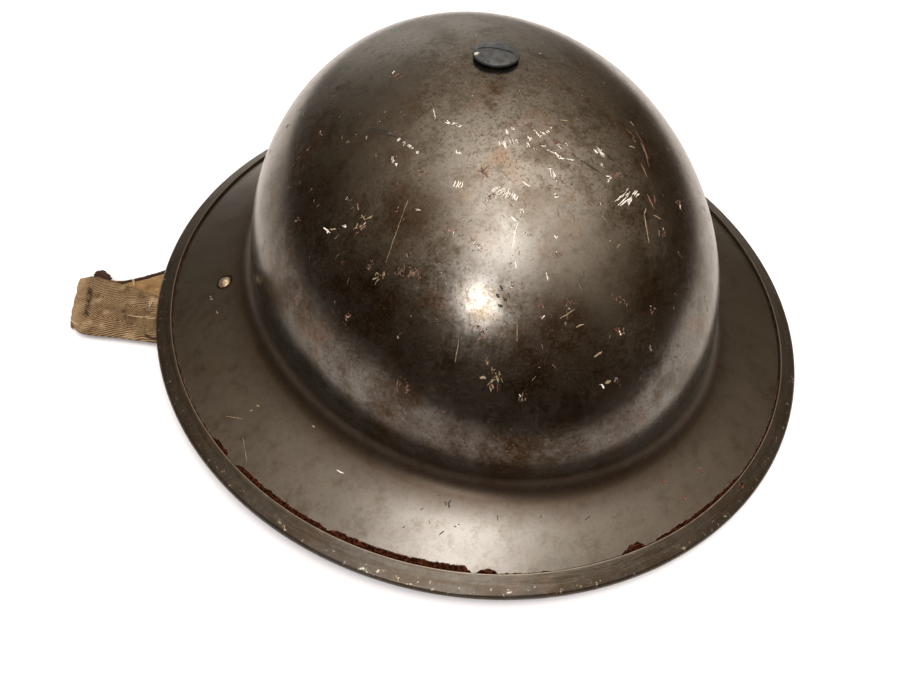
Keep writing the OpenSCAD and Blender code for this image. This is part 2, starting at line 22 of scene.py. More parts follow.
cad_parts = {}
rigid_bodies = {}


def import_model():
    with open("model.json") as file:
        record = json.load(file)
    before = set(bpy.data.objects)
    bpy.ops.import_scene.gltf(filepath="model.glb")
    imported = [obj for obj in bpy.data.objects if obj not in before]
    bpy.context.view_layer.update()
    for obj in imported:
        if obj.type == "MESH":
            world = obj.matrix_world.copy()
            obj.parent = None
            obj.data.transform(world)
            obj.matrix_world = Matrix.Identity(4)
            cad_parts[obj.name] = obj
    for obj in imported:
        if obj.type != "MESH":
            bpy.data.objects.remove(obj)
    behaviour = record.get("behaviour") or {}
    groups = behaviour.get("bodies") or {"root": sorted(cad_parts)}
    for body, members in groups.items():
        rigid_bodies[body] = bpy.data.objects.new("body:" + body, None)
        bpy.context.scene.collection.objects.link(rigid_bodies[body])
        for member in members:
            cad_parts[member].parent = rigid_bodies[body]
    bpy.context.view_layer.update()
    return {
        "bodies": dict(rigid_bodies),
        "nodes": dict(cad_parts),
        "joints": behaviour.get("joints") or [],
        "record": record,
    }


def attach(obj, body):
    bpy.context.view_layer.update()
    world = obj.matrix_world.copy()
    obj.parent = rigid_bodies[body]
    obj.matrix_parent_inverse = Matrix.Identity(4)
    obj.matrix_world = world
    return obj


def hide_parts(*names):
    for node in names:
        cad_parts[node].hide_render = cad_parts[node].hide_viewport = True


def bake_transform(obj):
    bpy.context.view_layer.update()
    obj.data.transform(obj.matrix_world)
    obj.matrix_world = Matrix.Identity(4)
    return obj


LOG = logging.getLogger("helmet")
MM = 0.001
Point = Sequence[float]
# A finish's colour, roughness and height
Finish = tuple[Socket, Socket, Socket]


class Body(str, Enum):
    """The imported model's bodies that carry new pieces."""

    HELMET = "helmet"
    LEFT_STRAP = "left_strap"
    LEFT_TAIL = "left_tail"
    RIGHT_STRAP = "right_strap"


def linear(hex_colour: str) -> tuple[float, float, float, float]:
    """Turns an sRGB hex value into the linear colour that a shader takes.

    Args:
        hex_colour: Six hex digits after a hash sign.
    Returns:
        Red, green, blue and an alpha of one.
    """
    parts = [int(hex_colour[i : i + 2], 16) / 255 for i in (1, 3, 5)]
    return (*[c / 12.92 if c <= 0.04045 else ((c + 0.055) / 1.055) ** 2.4 for c in parts], 1.0)


def add(tree: NodeTree, kind: str, inputs: dict | None = None, **settings) -> Node:
    """Adds one node with its settings, values and links.

    Args:
        tree: The node tree that takes the node.
        kind: The node's type name after "ShaderNode".
        inputs: A value or an output socket for each input, by name or number.
        **settings: Attributes of the node itself.
    Returns:
        The new node.
    """
    made = tree.nodes.new("ShaderNode" + kind)
    for name, value in settings.items():
        setattr(made, name, value)
    for name, value in (inputs or {}).items():
        if isinstance(value, Socket):
            tree.links.new(value, made.inputs[name])
        else:
            made.inputs[name].default_value = value
    return made


def lie(a: Point, b: Point, t: float) -> np.ndarray:
    """Returns the point a share t of the way from a to b."""
    return np.asarray(a, float) * (1 - t) + np.asarray(b, float) * t


def smooth_step(low: float, high: float, value: float) -> float:
    """Returns 0 below low, 1 above high, and a smooth rise between them."""
    t = min(1.0, max(0.0, (value - low) / (high - low)))
    return t * t * (3 - 2 * t)


def through(points: Sequence[Point], count: int) -> list[np.ndarray]:
    """Samples a smooth curve through the given points.

    Args:
        points: The points that the curve passes through.
        count: How many samples to take.
    Returns:
        Points evenly spaced in the curve's parameter.
    """
    p = np.asarray(points, float)
    p = np.vstack([2 * p[0] - p[1], p, 2 * p[-1] - p[-2]])
    found = []
    for s in np.linspace(0, len(p) - 3, count):
        i = min(int(s), len(p) - 4)
        t = s - i
        a, b, c, d = p[i : i + 4]
        bend, twist = 2 * a - 5 * b + 4 * c - d, 3 * b - a - 3 * c + d
        found.append(0.5 * (2 * b + (c - a) * t + bend * t**2 + twist * t**3))
    return found


def mesh_object(
    name: str,
    points: Sequence[Point],
    faces: Sequence[Sequence[int]],
    smooth: bool = True,
) -> Object:
    """Makes an object from points in millimetres.

    Args:
        name: The object's name.
        points: Vertex positions in millimetres.
        faces: Vertex numbers of each face.
        smooth: Whether the faces are shaded smooth.
    Returns:
        The object, linked to the scene.
    """
    mesh = bpy.data.meshes.new(name)
    mesh.from_pydata([tuple(float(c) * MM for c in p) for p in points], [], [list(f) for f in faces])
    mesh.validate()
    mesh.polygons.foreach_set("use_smooth", [smooth] * len(mesh.polygons))
    mesh.update()
    made = bpy.data.objects.new(name, mesh)
    bpy.context.scene.collection.objects.link(made)
    return made


def skin(name: str, rings: Sequence[Sequence[Point]], loop: bool = False) -> Object:
    """Skins closed rings of points, one after another.

    Args:
        name: The object's name.
        rings: Rings with the same number of points each.
        loop: Whether the last ring joins the first; otherwise the two end rings are filled.
    Returns:
        The skinned object.
    """
    n, m = len(rings), len(rings[0])
    faces = []
    for i in range(n if loop else n - 1):
        for j in range(m):
            a, b = i * m + j, i * m + (j + 1) % m
            c, d = ((i + 1) % n) * m + (j + 1) % m, ((i + 1) % n) * m + j
            faces.append((a, b, c, d))
    if not loop:
        faces.append(tuple(range(m - 1, -1, -1)))
        faces.append(tuple((n - 1) * m + j for j in range(m)))
    made = mesh_object(name, [p for ring in rings for p in ring], faces)
    outwards(made)
    return made


def outwards(piece: Object) -> None:
    """Turns a closed mesh's faces outwards."""
    mesh = bmesh.new()
    mesh.from_mesh(piece.data)
    bmesh.ops.recalc_face_normals(mesh, faces=mesh.faces)
    mesh.to_mesh(piece.data)
    mesh.free()


def joined(name: str, pieces: Sequence[Object]) -> Object:
    """Joins several new pieces into one object.

    Args:
        name: The joined object's name.
        pieces: The pieces, all in world place.
    Returns:
        The joined object.
    """
    bpy.ops.object.select_all(action="DESELECT")
    for piece in pieces:
        piece.select_set(True)
    bpy.context.view_layer.objects.active = pieces[0]
    bpy.ops.object.join()
    pieces[0].name = name
    return pieces[0]


def note(piece: Object, name: str, values: Sequence[float]) -> None:
    """Stores one number per vertex for the material to read."""
    stored = piece.data.attributes.new(name, "FLOAT", "POINT")
    stored.data.foreach_set("value", np.asarray(values, np.float32))


def note_vector(piece: Object, name: str, values: Sequence[Point]) -> None:
    """Stores one vector per vertex for the material to read."""
    stored = piece.data.attributes.new(name, "FLOAT_VECTOR", "POINT")
    stored.data.foreach_set("vector", np.asarray(values, np.float32).ravel())


@dataclass(frozen=True)
class HelmetForm:
    """The pressed shell's shape in millimetres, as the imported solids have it."""

    rim_x: float = 144.1
    rim_y: float = 152.5
    bowl_x: float = 99.1
    bowl_y: float = 120.05
    shift: float = 0.9
    crown: float = 116.7
    base_z: float = 21.6
    corner_z: float = 18.7
    fillet: float = 11.0
    sheet: float = 1.2
    band_sheet: float = 1.15
    band_leg: float = 7.2
    edge_r: float = 1.8
    bowl_p: float = 2.11
    bowl_q: float = 1.89
    bore_r: float = 3.15
    # The strap under the left rim lifts it by this much, while the right rim touches the sheet
    stack: float = 4.3

    def rim(self, a: float, inset: float) -> np.ndarray:
        """Returns a plan point at a distance inside the rim."""
        return np.array([(self.rim_x - inset) * cos(a), (self.rim_y - inset) * sin(a)])

    def bowl(self, a: float, share: float = 1.0, inset: float = 0.0) -> np.ndarray:
        """Returns a plan point at a share of the bowl's base oval."""
        x = (self.bowl_x - inset) * share * cos(a)
        return np.array([x, self.shift + (self.bowl_y - inset) * share * sin(a)])

    @functools.cache
    def run(self, a: float) -> float:
        """Returns the brim's width in plan, from the bowl's base to the sheet's edge."""
        return float(np.linalg.norm(self.rim(a, self.edge_r) - self.bowl(a)))

    @functools.cache
    def slope(self, a: float) -> float:
        """Returns the brim's fall, in radians."""
        return atan((self.corner_z - self.edge_r - self.sheet / 2) / self.run(a))

    @functools.cache
    def brim_way(self, a: float) -> np.ndarray:
        """Returns the plan direction from the bowl's base out to the rim."""
        return (self.rim(a, self.edge_r) - self.bowl(a)) / self.run(a)

    def brim(self, a: float, r: float, z: float) -> np.ndarray:
        """Returns the point at a distance r out along the brim."""
        return np.array([*(self.bowl(a) + self.brim_way(a) * r), z])

    def brim_top(self, a: float, r: float) -> float:
        """Returns the height of the brim's upper face."""
        return self.corner_z - r * tan(self.slope(a))

    def brim_under(self, a: float, r: float) -> float:
        """Returns the height of the brim's lower face."""
        return self.brim_top(a, r) - self.sheet / cos(self.slope(a))

    def brim_height(self, p: Point) -> float:
        """Returns the height of the brim's upper face over a plan point."""
        share = 0.5
        for _ in range(6):
            inner, outer = (self.bowl_x, self.bowl_y), (self.rim_x - self.edge_r, self.rim_y - self.edge_r)
            reach = [i * (1 - share) + o * share for i, o in zip(inner, outer)]
            a = atan2((p[1] - self.shift * (1 - share)) / reach[1], p[0] / reach[0])
            out = float((np.asarray(p[:2]) - self.bowl(a)) @ self.brim_way(a))
            share = min(1.0, max(0.0, out / self.run(a)))
        return self.brim_top(a, out)

    @functools.cache
    def fillet_z(self, a: float) -> float:
        """Returns the height at which the bowl's wall runs into the fillet."""
        return self.corner_z + self.fillet * tan((pi / 2 - self.slope(a)) / 2)

    def bowl_points(self, a: float, inset: float, count: int) -> list[np.ndarray]:
        """Samples the bowl's meridian from the crown's bore down to the fillet.

        Args:
            a: Angle round the helmet, in radians.
            inset: Distance inside the outer face.
            count: How many points to take.
        Returns:
            Points from the crown down.
        """
        height = self.crown - inset - self.base_z
        end = acos(((self.fillet_z(a) - self.base_z) / height) ** (self.bowl_q / 2))
        start = asin((self.bore_r / self.bowl_x) ** (self.bowl_p / 2))
        found = []
        for k in range(count):
            psi = start + (end - start) * k / count
            plan = self.bowl(a, sin(psi) ** (2 / self.bowl_p), inset)
            found.append(np.array([*plan, self.base_z + height * cos(psi) ** (2 / self.bowl_q)]))
        return found

    def fillet_points(self, a: float, extra: float, count: int) -> list[np.ndarray]:
        """Samples the fillet's arc between bowl and brim, from the bowl outwards."""
        found = []
        for k in range(count + 1):
            t = pi + (pi / 2 - self.slope(a)) * k / count
            r = self.fillet + extra
            found.append(self.brim(a, self.fillet + r * cos(t), self.fillet_z(a) + r * sin(t)))
        return found

    def bowl_normal(self, azimuth: float, height: float) -> np.ndarray:
        """Returns the outward unit normal of the bowl at an azimuth in degrees and a height."""
        a = radians(azimuth)
        share = max(1e-4, min(0.9999, (height - self.base_z) / (self.crown - self.base_z)))
        psi = acos(share ** (self.bowl_q / 2))
        flat = np.array([cos(a) / self.bowl_x, sin(a) / self.bowl_y])
        rise = cos(psi) ** (2 - 2 / self.bowl_q) / (self.crown - self.base_z)
        found = np.array([*(flat * sin(psi) ** (2 - 2 / self.bowl_p)), rise])
        return found / np.linalg.norm(found)


FORM = HelmetForm()


def ripple(p: Point, across: float, along: float, seed: float) -> float:
    """Returns smooth noise over the plan, between about -0.7 and 0.7, by its two sizes in millimetres."""
    return noise.noise(Vector((p[0] / across, p[1] / along, seed)))


def pressed_wave(p: Point, size: float, height: float) -> float:
    """Returns the slight unevenness of a pressed sheet at a point, in millimetres."""
    return noise.noise(Vector((p[0] / size, p[1] / size, p[2] / size))) * height


@dataclass
class PressedShell:
    """Bowl and brim, pressed from one sheet of manganese steel."""

    around: int = 288
    bowl_rows: int = 64
    fillet_rows: int = 12
    brim_rows: int = 16
    wave_mm: float = 0.16
    wave_size: float = 34.0
    flat_rows: int = 5
    # Distance from the band noted on the inside, where no rust strip is
    far_off: float = 60.0
    # The brim's and the underside's share of the stains is this much less than the bowl's
    cleaner_brim: float = 0.78
    # Dark places the photograph shows, stains and, along the bowl's lower front, painted shade: pixel across
    # and down, reach in millimetres and strength
    dark_places: tuple[tuple[float, float, float, float], ...] = (
        (363, 307, 17.0, 0.95), (345, 338, 14.0, 0.7), (400, 330, 12.0, 0.6), (417, 213, 12.0, 0.6),
        (272, 190, 15.0, 0.8), (285, 245, 17.0, 0.85), (292, 300, 15.0, 0.85), (318, 200, 13.0, 0.5),
        (563, 327, 12.0, 0.9), (525, 370, 13.0, 0.9), (585, 352, 12.0, 0.6), (465, 385, 13.0, 0.25),
        (640, 120, 12.0, 0.5), (662, 165, 13.0, 0.75), (683, 205, 14.0, 0.75), (690, 255, 13.0, 0.7),
        (665, 300, 13.0, 0.6), (400, 415, 16.0, 0.6), (448, 444, 14.0, 0.8), (505, 455, 14.0, 0.95),
        (560, 446, 14.0, 0.85), (612, 420, 14.0, 0.6),
    )
    clear_places: tuple[tuple[float, float, float, float], ...] = (
        (370, 150, 20.0, 0.55), (378, 92, 18.0, 0.8), (604, 298, 11.0, 0.8), (450, 190, 16.0, 0.5),
        (560, 250, 20.0, 0.7), (500, 235, 16.0, 0.5), (610, 260, 12.0, 0.6),
    )
    # The rust strip beside the rim band: start and end azimuth and greatest width
    rust_runs: tuple[tuple[float, float, float], ...] = (
        (202.5, 207.5, 1.8), (208.5, 228.0, 2.1), (227.0, 249.6, 2.5), (250.6, 253.6, 2.3),
        (253.0, 263.0, 0.7), (273.2, 277.6, 2.6), (278.4, 299.0, 1.5), (298.0, 322.0, 0.7),
        (150.0, 203.0, 0.6),
    )

    def rust_width(self, azimuth: float) -> float:
        """Returns the rust strip's width at an azimuth in degrees."""
        widest = 0.15
        for start, end, width in self.rust_runs:
            for turn in (azimuth, azimuth + 360):
                inside = smooth_step(start, start + 1.0, turn) * (1 - smooth_step(end - 1.0, end, turn))
                widest = max(widest, width * inside)
        return widest

    def section(self, a: float) -> tuple[list[np.ndarray], list[float]]:
        """Makes one section of the sheet.

        Args:
            a: Angle round the helmet, in radians.
        Returns:
            The section's points, and each one's distance inside the rim band.
        """
        run = FORM.run(a)
        tangent = float(np.linalg.norm(FORM.fillet_points(a, 0, 1)[-1][:2] - FORM.bowl(a)))
        out = [tangent + (run - tangent) * (k + 1) / self.brim_rows for k in range(self.brim_rows)]
        faces = []
        for inset, height in ((0.0, FORM.brim_top), (FORM.sheet, FORM.brim_under)):
            face = FORM.bowl_points(a, inset, self.bowl_rows) + FORM.fillet_points(a, inset, self.fillet_rows)
            faces.append(face + [FORM.brim(a, r, height(a, r)) for r in out])
        top, under = faces
        band_edge = run - (FORM.band_leg - FORM.edge_r)
        from_band = [band_edge - float(np.linalg.norm(p[:2] - FORM.bowl(a))) for p in top]
        from_band[: self.bowl_rows] = [run] * self.bowl_rows
        # The rows inside the rim band stay flat
        for k in range(len(top) - self.flat_rows):
            shift = np.array([0, 0, pressed_wave(top[k], self.wave_size, self.wave_mm)])
            top[k] = top[k] + shift
            under[k] = under[k] + shift
        return top + under[::-1], from_band + [self.far_off] * len(under)

    def hollow(self, index: int) -> float:
        """Returns how deep in the fillet the section's point of that number lies, where dirt and painted
        shade darken it.
        """
        middle = self.bowl_rows + self.fillet_rows * 0.5
        return 1 - smooth_step(self.fillet_rows * 0.35, self.fillet_rows, abs(index - middle))

    def stained(self, index: int) -> float:
        """Returns the stains' share at the section's point of that number."""
        end = self.bowl_rows + self.fillet_rows
        return 1 - self.cleaner_brim * smooth_step(self.bowl_rows - 4, end, index)

    def placed_stains_and_shade(self, rings: list, studio: "Studio") -> tuple[list[float], list[float]]:
        """Finds how much the photograph's own dark and clear places cover each point of the outside.

        Args:
            rings: The shell's sections.
            studio: The camera, which places a pixel on the bowl.
        Returns:
            The dark places' share and the clear places' share, point by point.
        """
        points = np.concatenate([np.asarray(ring, float) for ring in rings])
        outside = np.tile(np.arange(len(rings[0])) < len(rings[0]) / 2, len(rings))
        shares = []
        for places in (self.dark_places, self.clear_places):
            share = np.zeros(len(points))
            for x, y, reach, strength in places:
                far = np.linalg.norm(points - studio.on_bowl((x, y)), axis=1) / reach
                share = np.maximum(share, strength * np.exp(-(far**4)))
            shares.append((share * outside).tolist())
        return shares[0], shares[1]

    def build(self, paint: Material, studio: "Studio") -> Object:
        """Builds and dresses the shell.

        Args:
            paint: The worn paint.
            studio: The camera, which places the photograph's stains and painted shade.
        Returns:
            The shell's piece.
        """
        rings, from_band, rust, hollow, stained = [], [], [], [], []
        for i in range(self.around):
            a = tau * i / self.around
            ring, inside = self.section(a)
            rings.append(ring)
            from_band += inside
            rust += [self.rust_width(degrees(a))] * len(ring)
            hollow += [self.hollow(k) for k in range(len(ring))]
            stained += [self.stained(min(k, len(ring) - 1 - k)) for k in range(len(ring))]
        made = skin("pressed_shell", rings, loop=True)
        dark, clear = self.placed_stains_and_shade(rings, studio)
        stained = [share * (1 - less) for share, less in zip(stained, clear)]
        notes = (dark, from_band, rust, hollow, stained)
        for name, values in zip(("dark", "from_band", "rust_width", "hollow", "stained"), notes):
            note(made, name, values)
        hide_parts("shell")
        return finished(made, paint, Body.HELMET)


@dataclass
class RimBand:
    """U-section band folded round the brim's edge."""

    around: int = 288
    fold_rows: int = 14
    edge_round: float = 0.28
    # Gap between the band's legs and the sheet
    gap: float = 0.05
    stained: float = 0.35
    mean_r: float = 148.0

    def section(self, a: float) -> list[np.ndarray]:
        """Makes one section of the band, from the upper leg's inner edge round to the lower one's."""
        run, slope, edge = FORM.run(a), FORM.slope(a), FORM.edge_r
        inner = run - (FORM.band_leg - edge)
        lift = (self.gap + FORM.band_sheet) / cos(slope)
        soft, gap = self.edge_round, self.gap
        top, under = FORM.brim_top, FORM.brim_under
        high, low, part = top(a, inner), under(a, inner), soft * 0.3
        pairs = [(inner, high + gap), (inner, high + lift - soft), (inner + part, high + lift - part)]
        for k in range(5):
            r = inner + soft + (run - inner - soft) * k / 5
            pairs.append((r, top(a, r) + lift))
        for k in range(self.fold_rows + 1):
            t = pi / 2 - slope - (pi / 2 - slope + pi / 3) * k / self.fold_rows
            pairs.append((run + edge * cos(t), edge + edge * sin(t)))
        # Nearly flat under the fold, where the band rests on the sheet
        pairs += [(run + edge * 0.35, 0.02), (run - edge * 0.35, 0.02)]
        pairs += [(inner, low - lift), (inner, low - gap)]
        pairs += [(run + gap, under(a, run) - gap), (run + gap, top(a, run) + gap)]
        return [FORM.brim(a, r, z) for r, z in pairs]

    def build(self, paint: Material) -> Object:
        """Builds and dresses the band.

        Args:
            paint: The band's rubbed paint.
        Returns:
            The band's piece.
        """
        rings, lay = [], []
        for i in range(self.around):
            a = tau * i / self.around
            ring = self.section(a)
            # Millimetres across the band and along it, folded at the back so that the ends meet
            back = a - pi / 2 if a < pi * 1.5 else a - pi * 2.5
            along = self.mean_r * abs(pi - abs(back))
            edge = FORM.brim(a, FORM.run(a), 0)[:2]
            lay += [(float(np.linalg.norm(p[:2] - edge)), along, p[0] / 400) for p in ring]
            rings.append(ring)
        made = skin("rim_band_strip", rings, loop=True)
        note_vector(made, "lay", lay)
        note(made, "stained", [self.stained] * len(lay))
        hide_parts("rim_band")
        return finished(made, paint, Body.HELMET)


def millimetres(tree: NodeTree) -> Socket:
    """Returns the place on the piece in millimetres, for patterns of a real size."""
    place = add(tree, "TexCoord")
    scaled = {0: place.outputs["Object"], 1: (1 / MM,) * 3}
    return add(tree, "VectorMath", scaled, operation="MULTIPLY").outputs[0]


def patches(
    tree: NodeTree,
    place: Socket,
    size_mm: float,
    low: float,
    high: float,
    detail: float = 5.0,
    rough: float = 0.6,
    seed: float = 0.0,
) -> Socket:
    """Makes soft-edged patches of a real size.

    Args:
        tree: The material's tree.
        place: The place in millimetres.
        size_mm: The patches' rough size.
        low: Noise level at which a patch starts.
        high: Noise level at which it is full.
        detail: How many finer layers the noise has.
        rough: How strong the finer layers are.
        seed: Shift that makes this pattern differ from others.
    Returns:
        0 outside the patches, 1 inside.
    """
    moved = add(tree, "VectorMath", {0: place, 1: (seed * 31.7, seed * 17.3, seed * 47.9)}, operation="ADD")
    grains = {"Vector": moved.outputs[0], "Scale": 1 / size_mm, "Detail": detail, "Roughness": rough}
    cloud = add(tree, "TexNoise", grains).outputs[0]
    return ramp(tree, cloud, low, high, interpolation_type="SMOOTHSTEP")


def ramp(tree: NodeTree, value: Socket, low: float, high: float, **settings) -> Socket:
    """Returns 0 where a number is at low, 1 where it is at high, and a rise between them."""
    between = {"Value": value, "From Min": low, "From Max": high}
    return add(tree, "MapRange", between, **settings).outputs["Result"]


def specks(tree: NodeTree, place: Socket, pitch_mm: float, spot_mm: float, share: Socket | float) -> Socket:
    """Makes small irregular spots.

    Args:
        tree: The material's tree.
        place: The place in millimetres.
        pitch_mm: The mean distance between spots.
        spot_mm: The largest spots' radius.
        share: How many of the spots there are, from 0 to 1.
    Returns:
        0 outside the spots, 1 inside.
    """
    jitter = add(tree, "TexNoise", {"Vector": place, "Scale": 1 / (spot_mm * 1.1), "Detail": 3.0})
    reach = {0: jitter.outputs["Color"], 1: (spot_mm * 1.6,) * 3}
    shift = add(tree, "VectorMath", reach, operation="MULTIPLY")
    moved = add(tree, "VectorMath", {0: place, 1: shift.outputs[0]}, operation="ADD")
    cells = add(tree, "TexVoronoi", {"Vector": moved.outputs[0], "Scale": 1 / pitch_mm})
    pick = add(tree, "SeparateColor", {0: cells.outputs["Color"]})
    size = add(tree, "Math", {0: share, 1: pick.outputs[0]}, operation="SUBTRACT")
    radius = times(tree, size.outputs[0], spot_mm / pitch_mm * 1.6)
    inside = add(tree, "Math", {0: radius, 1: cells.outputs["Distance"]}, operation="SUBTRACT")
    return ramp(tree, inside.outputs[0], 0.0, 0.06)


def blended(tree: NodeTree, share: Socket, under: Socket | str, over: Socket | str) -> Socket:
    """Lays one colour over another by a share, where a colour is a socket or a hex value."""
    colours = [linear(c) if isinstance(c, str) else c for c in (under, over)]
    mix = add(tree, "Mix", {0: share, 6: colours[0], 7: colours[1]}, data_type="RGBA")
    return mix.outputs[2]


def levelled(tree: NodeTree, share: Socket, low: float, high: float) -> Socket:
    """Returns a number from low to high by a share."""
    return add(tree, "MapRange", {"Value": share, "To Min": low, "To Max": high}).outputs["Result"]


def most(tree: NodeTree, a: Socket, b: Socket) -> Socket:
    """Returns the larger of two numbers."""
    return add(tree, "Math", {0: a, 1: b}, operation="MAXIMUM").outputs[0]


def times(tree: NodeTree, *factors: Socket | float) -> Socket:
    """Returns the product of two or more numbers."""
    product = factors[0]
    for factor in factors[1:]:
        product = add(tree, "Math", {0: product, 1: factor}, operation="MULTIPLY").outputs[0]
    return product


def stored(tree: NodeTree, name: str, output: str = "Fac") -> Socket:
    """Reads what note() stored on the mesh, or note_vector() where the output is "Vector"."""
    return add(tree, "Attribute", attribute_name=name, attribute_type="GEOMETRY").outputs[output]


def surface(
    name: str,
    paint: Callable[[NodeTree], tuple[Socket | str, Socket | float, Socket | None]],
    bump_mm: float = 0.1,
    **fixed,
) -> Material:
    """Makes a material round one shader.

    Args:
        name: The material's name.
        paint: Makes the nodes and returns the colour, the roughness and the height.
        bump_mm: How far the height of 1 stands out.
        **fixed: The shader's other values, with the socket's words joined by underscores.
    Returns:
        The material.
    """
    made = bpy.data.materials.new(name)
    made.use_nodes = True
    tree = made.node_tree
    tree.nodes.clear()
    colour, rough, height = paint(tree)
    values: dict = {"Base Color": linear(colour) if isinstance(colour, str) else colour, "Roughness": rough}
    for word, value in fixed.items():
        values[word.replace("_", " ")] = value
    if height is not None:
        bump = add(tree, "Bump", {"Height": height, "Distance": bump_mm * MM, "Strength": 1.0})
        values["Normal"] = bump.outputs[0]
    shader = add(tree, "BsdfPrincipled", values)
    add(tree, "OutputMaterial", {"Surface": shader.outputs[0]})
    return made


@dataclass(frozen=True)
class ServicePaint:
    """Old gloss service paint on steel: smooth and glassy, stained black-brown, specked by rust below it."""

    name: str = "service_paint_on_steel"
    olive: str = "#6a6762"
    stain: str = "#35270f"
    warm: str = "#6f5848"
    pale: str = "#938a80"
    rust: str = "#8a6250"
    # The grime colour is dirt, and painted shade in the fillet's crease, round the rivets' bases and along
    # the bowl's lower front
    grime: str = "#2d1c07"
    worn_grain: str = "#7c6750"
    deep_rust: str = "#1c0e0a"
    bright_rust: str = "#5e3320"
    # Sizes of the stains, blotches and mottling in the photograph
    stain_mm: float = 26.0
    blotch_mm: float = 9.0
    mottle_mm: float = 2.6
    grit_mm: float = 1.1
    gloss: float = 0.2
    # Rubbed and oiled paint over steel has hardly any body colour: its mottling shows in its reflections
    metal_share: float = 0.97
    # Old varnish and dirt keep the slanting reflections of the white sheet brown
    slanting: str = "#f4f2ed"
    rust_strip: bool = True
    # Dirt and painted shade round the side rivets' bases, from one distance to another
    rivets: tuple[Point, ...] = ((-111.2, 18.5, 13.4), (111.2, 18.5, 13.4))
    rivet_dirt_and_shade: tuple[float, float] = (3.5, 4.8)

    def layers(self, tree: NodeTree) -> Finish:
        """Makes the paint's colour, roughness and height."""
        place, stained = millimetres(tree), stored(tree, "stained")
        mottle = patches(tree, place, self.mottle_mm, 0.42, 0.66, 6.0, 0.8, seed=3)
        broken = patches(tree, place, 8.0, 0.36, 0.62, 8.0, 0.66, seed=11)
        # The dark places carry stains, and painted shade along the bowl's lower front
        dark = times(tree, stored(tree, "dark"), levelled(tree, broken, 0.5, 1.0))
        colour = self.stained_coat(tree, place, stained, mottle)
        colour = self.dirtied_and_shaded(tree, place, stained, dark, colour)
        if self.rust_strip:
            colour = self.clouded_and_shaded(tree, place, stained, colour)
        spots, rusty = self.specked(tree, place)
        colour = blended(tree, times(tree, spots, 0.85), colour, rusty)
        dull = most(tree, spots, times(tree, mottle, stained, 0.2))
        dull = most(tree, dull, times(tree, dark, 0.35))
        if self.rust_strip:
            dull = most(tree, dull, times(tree, stored(tree, "hollow"), 0.6))
        rough = levelled(tree, dull, self.gloss, 0.55)
        height = levelled(tree, spots, 0.5, 0.2)
        if not self.rust_strip:
            return colour, rough, height
        return self.crusted(tree, place, colour, rough, height)

    def stained_coat(self, tree: NodeTree, place: Socket, stained: Socket, mottle: Socket) -> Socket:
        """Makes the coat's colour: the brim and the band kept it even, and the bowl's took the stains."""
        stains = patches(tree, place, self.stain_mm, 0.47, 0.63, 12.0, 0.7)
        blotches = patches(tree, place, self.blotch_mm, 0.52, 0.62, 10.0, 0.78, seed=1)
        warm = patches(tree, place, self.blotch_mm * 1.7, 0.54, 0.7, 5.0, 0.6, seed=2)
        grit = patches(tree, place, self.grit_mm, 0.53, 0.6, 3.0, 0.75, seed=9)
        coats = ((mottle, 0.25, self.pale), (warm, 0.6, self.warm), (stains, 0.62, self.stain))
        coats += ((blotches, 0.55, self.stain), (grit, 0.52, self.stain))
        colour: Socket | str = self.olive
        for pattern, strength, tone in coats:
            colour = blended(tree, times(tree, pattern, stained, strength), colour, tone)
        return colour

    def dirtied_and_shaded(self, tree: NodeTree, place: Socket, stained: Socket, dark: Socket, colour: Socket) -> Socket:
        """Lays the dirt and painted shade on the dark places, with tan pinpoints where it has worn off the
        paint's grain.
        """
        colour = blended(tree, dark, colour, self.grime)
        pinpoints = patches(tree, place, self.grit_mm, 0.56, 0.62, 4.0, 0.8, seed=13)
        worn_dirt_and_shade = levelled(tree, dark, 0.15, 0.75)
        return blended(tree, times(tree, pinpoints, stained, worn_dirt_and_shade), colour, self.worn_grain)

    def clouded_and_shaded(self, tree: NodeTree, place: Socket, stained: Socket, colour: Socket) -> Socket:
        """Lays faint clouds on the even coat, and dirt with painted shade in the fillet's crease and round
        the side rivets.
        """
        clouds = patches(tree, place, 8.0, 0.47, 0.7, 9.0, 0.74, seed=12)
        even = add(tree, "Math", {0: 1.0, 1: stained}, operation="SUBTRACT").outputs[0]
        colour = blended(tree, times(tree, clouds, even, 0.5), colour, self.stain)
        # Painted shade as well as dirt: the fillet's crease and the rivets' bases are darkened with the grime
        # colour
        dirt_and_shade = times(tree, stored(tree, "hollow"), 0.75)
        for rivet in self.rivets:
            far = add(tree, "VectorMath", {0: place, 1: rivet}, operation="DISTANCE").outputs["Value"]
            dirt_and_shade = most(tree, dirt_and_shade, ramp(tree, far, self.rivet_dirt_and_shade[1], self.rivet_dirt_and_shade[0]))
        return blended(tree, dirt_and_shade, colour, self.grime)

    def specked(self, tree: NodeTree, place: Socket) -> tuple[Socket, Socket]:
        """Makes the rust specks' share and their colour."""
        crowd = patches(tree, place, 30.0, 0.42, 0.72, 3.0, 0.5, seed=4)
        coarse = specks(tree, place, 6.5, 1.7, levelled(tree, crowd, 0.05, 0.55))
        fine = specks(tree, place, 2.4, 0.5, levelled(tree, crowd, 0.08, 0.5))
        flecks = patches(tree, place, 1.1, 0.4, 0.6, 3.0, 0.6, seed=5)
        rusty = blended(tree, flecks, self.rust, self.deep_rust)
        return most(tree, coarse, times(tree, fine, 0.8)), rusty

    def crusted(self, tree: NodeTree, place: Socket, colour: Socket, rough: Socket, height: Socket) -> Finish:
        """Lays the rust strip's crust over the paint's colour, roughness and height."""
        crust = self.strip(tree, place)
        grain = patches(tree, place, 0.9, 0.42, 0.6, 3.0, 0.7, seed=6)
        scale = blended(tree, grain, self.deep_rust, self.bright_rust)
        colour = blended(tree, crust, colour, scale)
        rough = add(tree, "Mix", {0: crust, 2: rough, 3: 0.85}).outputs[0]
        raised = add(tree, "Mix", {0: crust, 2: height, 3: times(tree, grain, 1.6)})
        return colour, rough, raised.outputs[0]

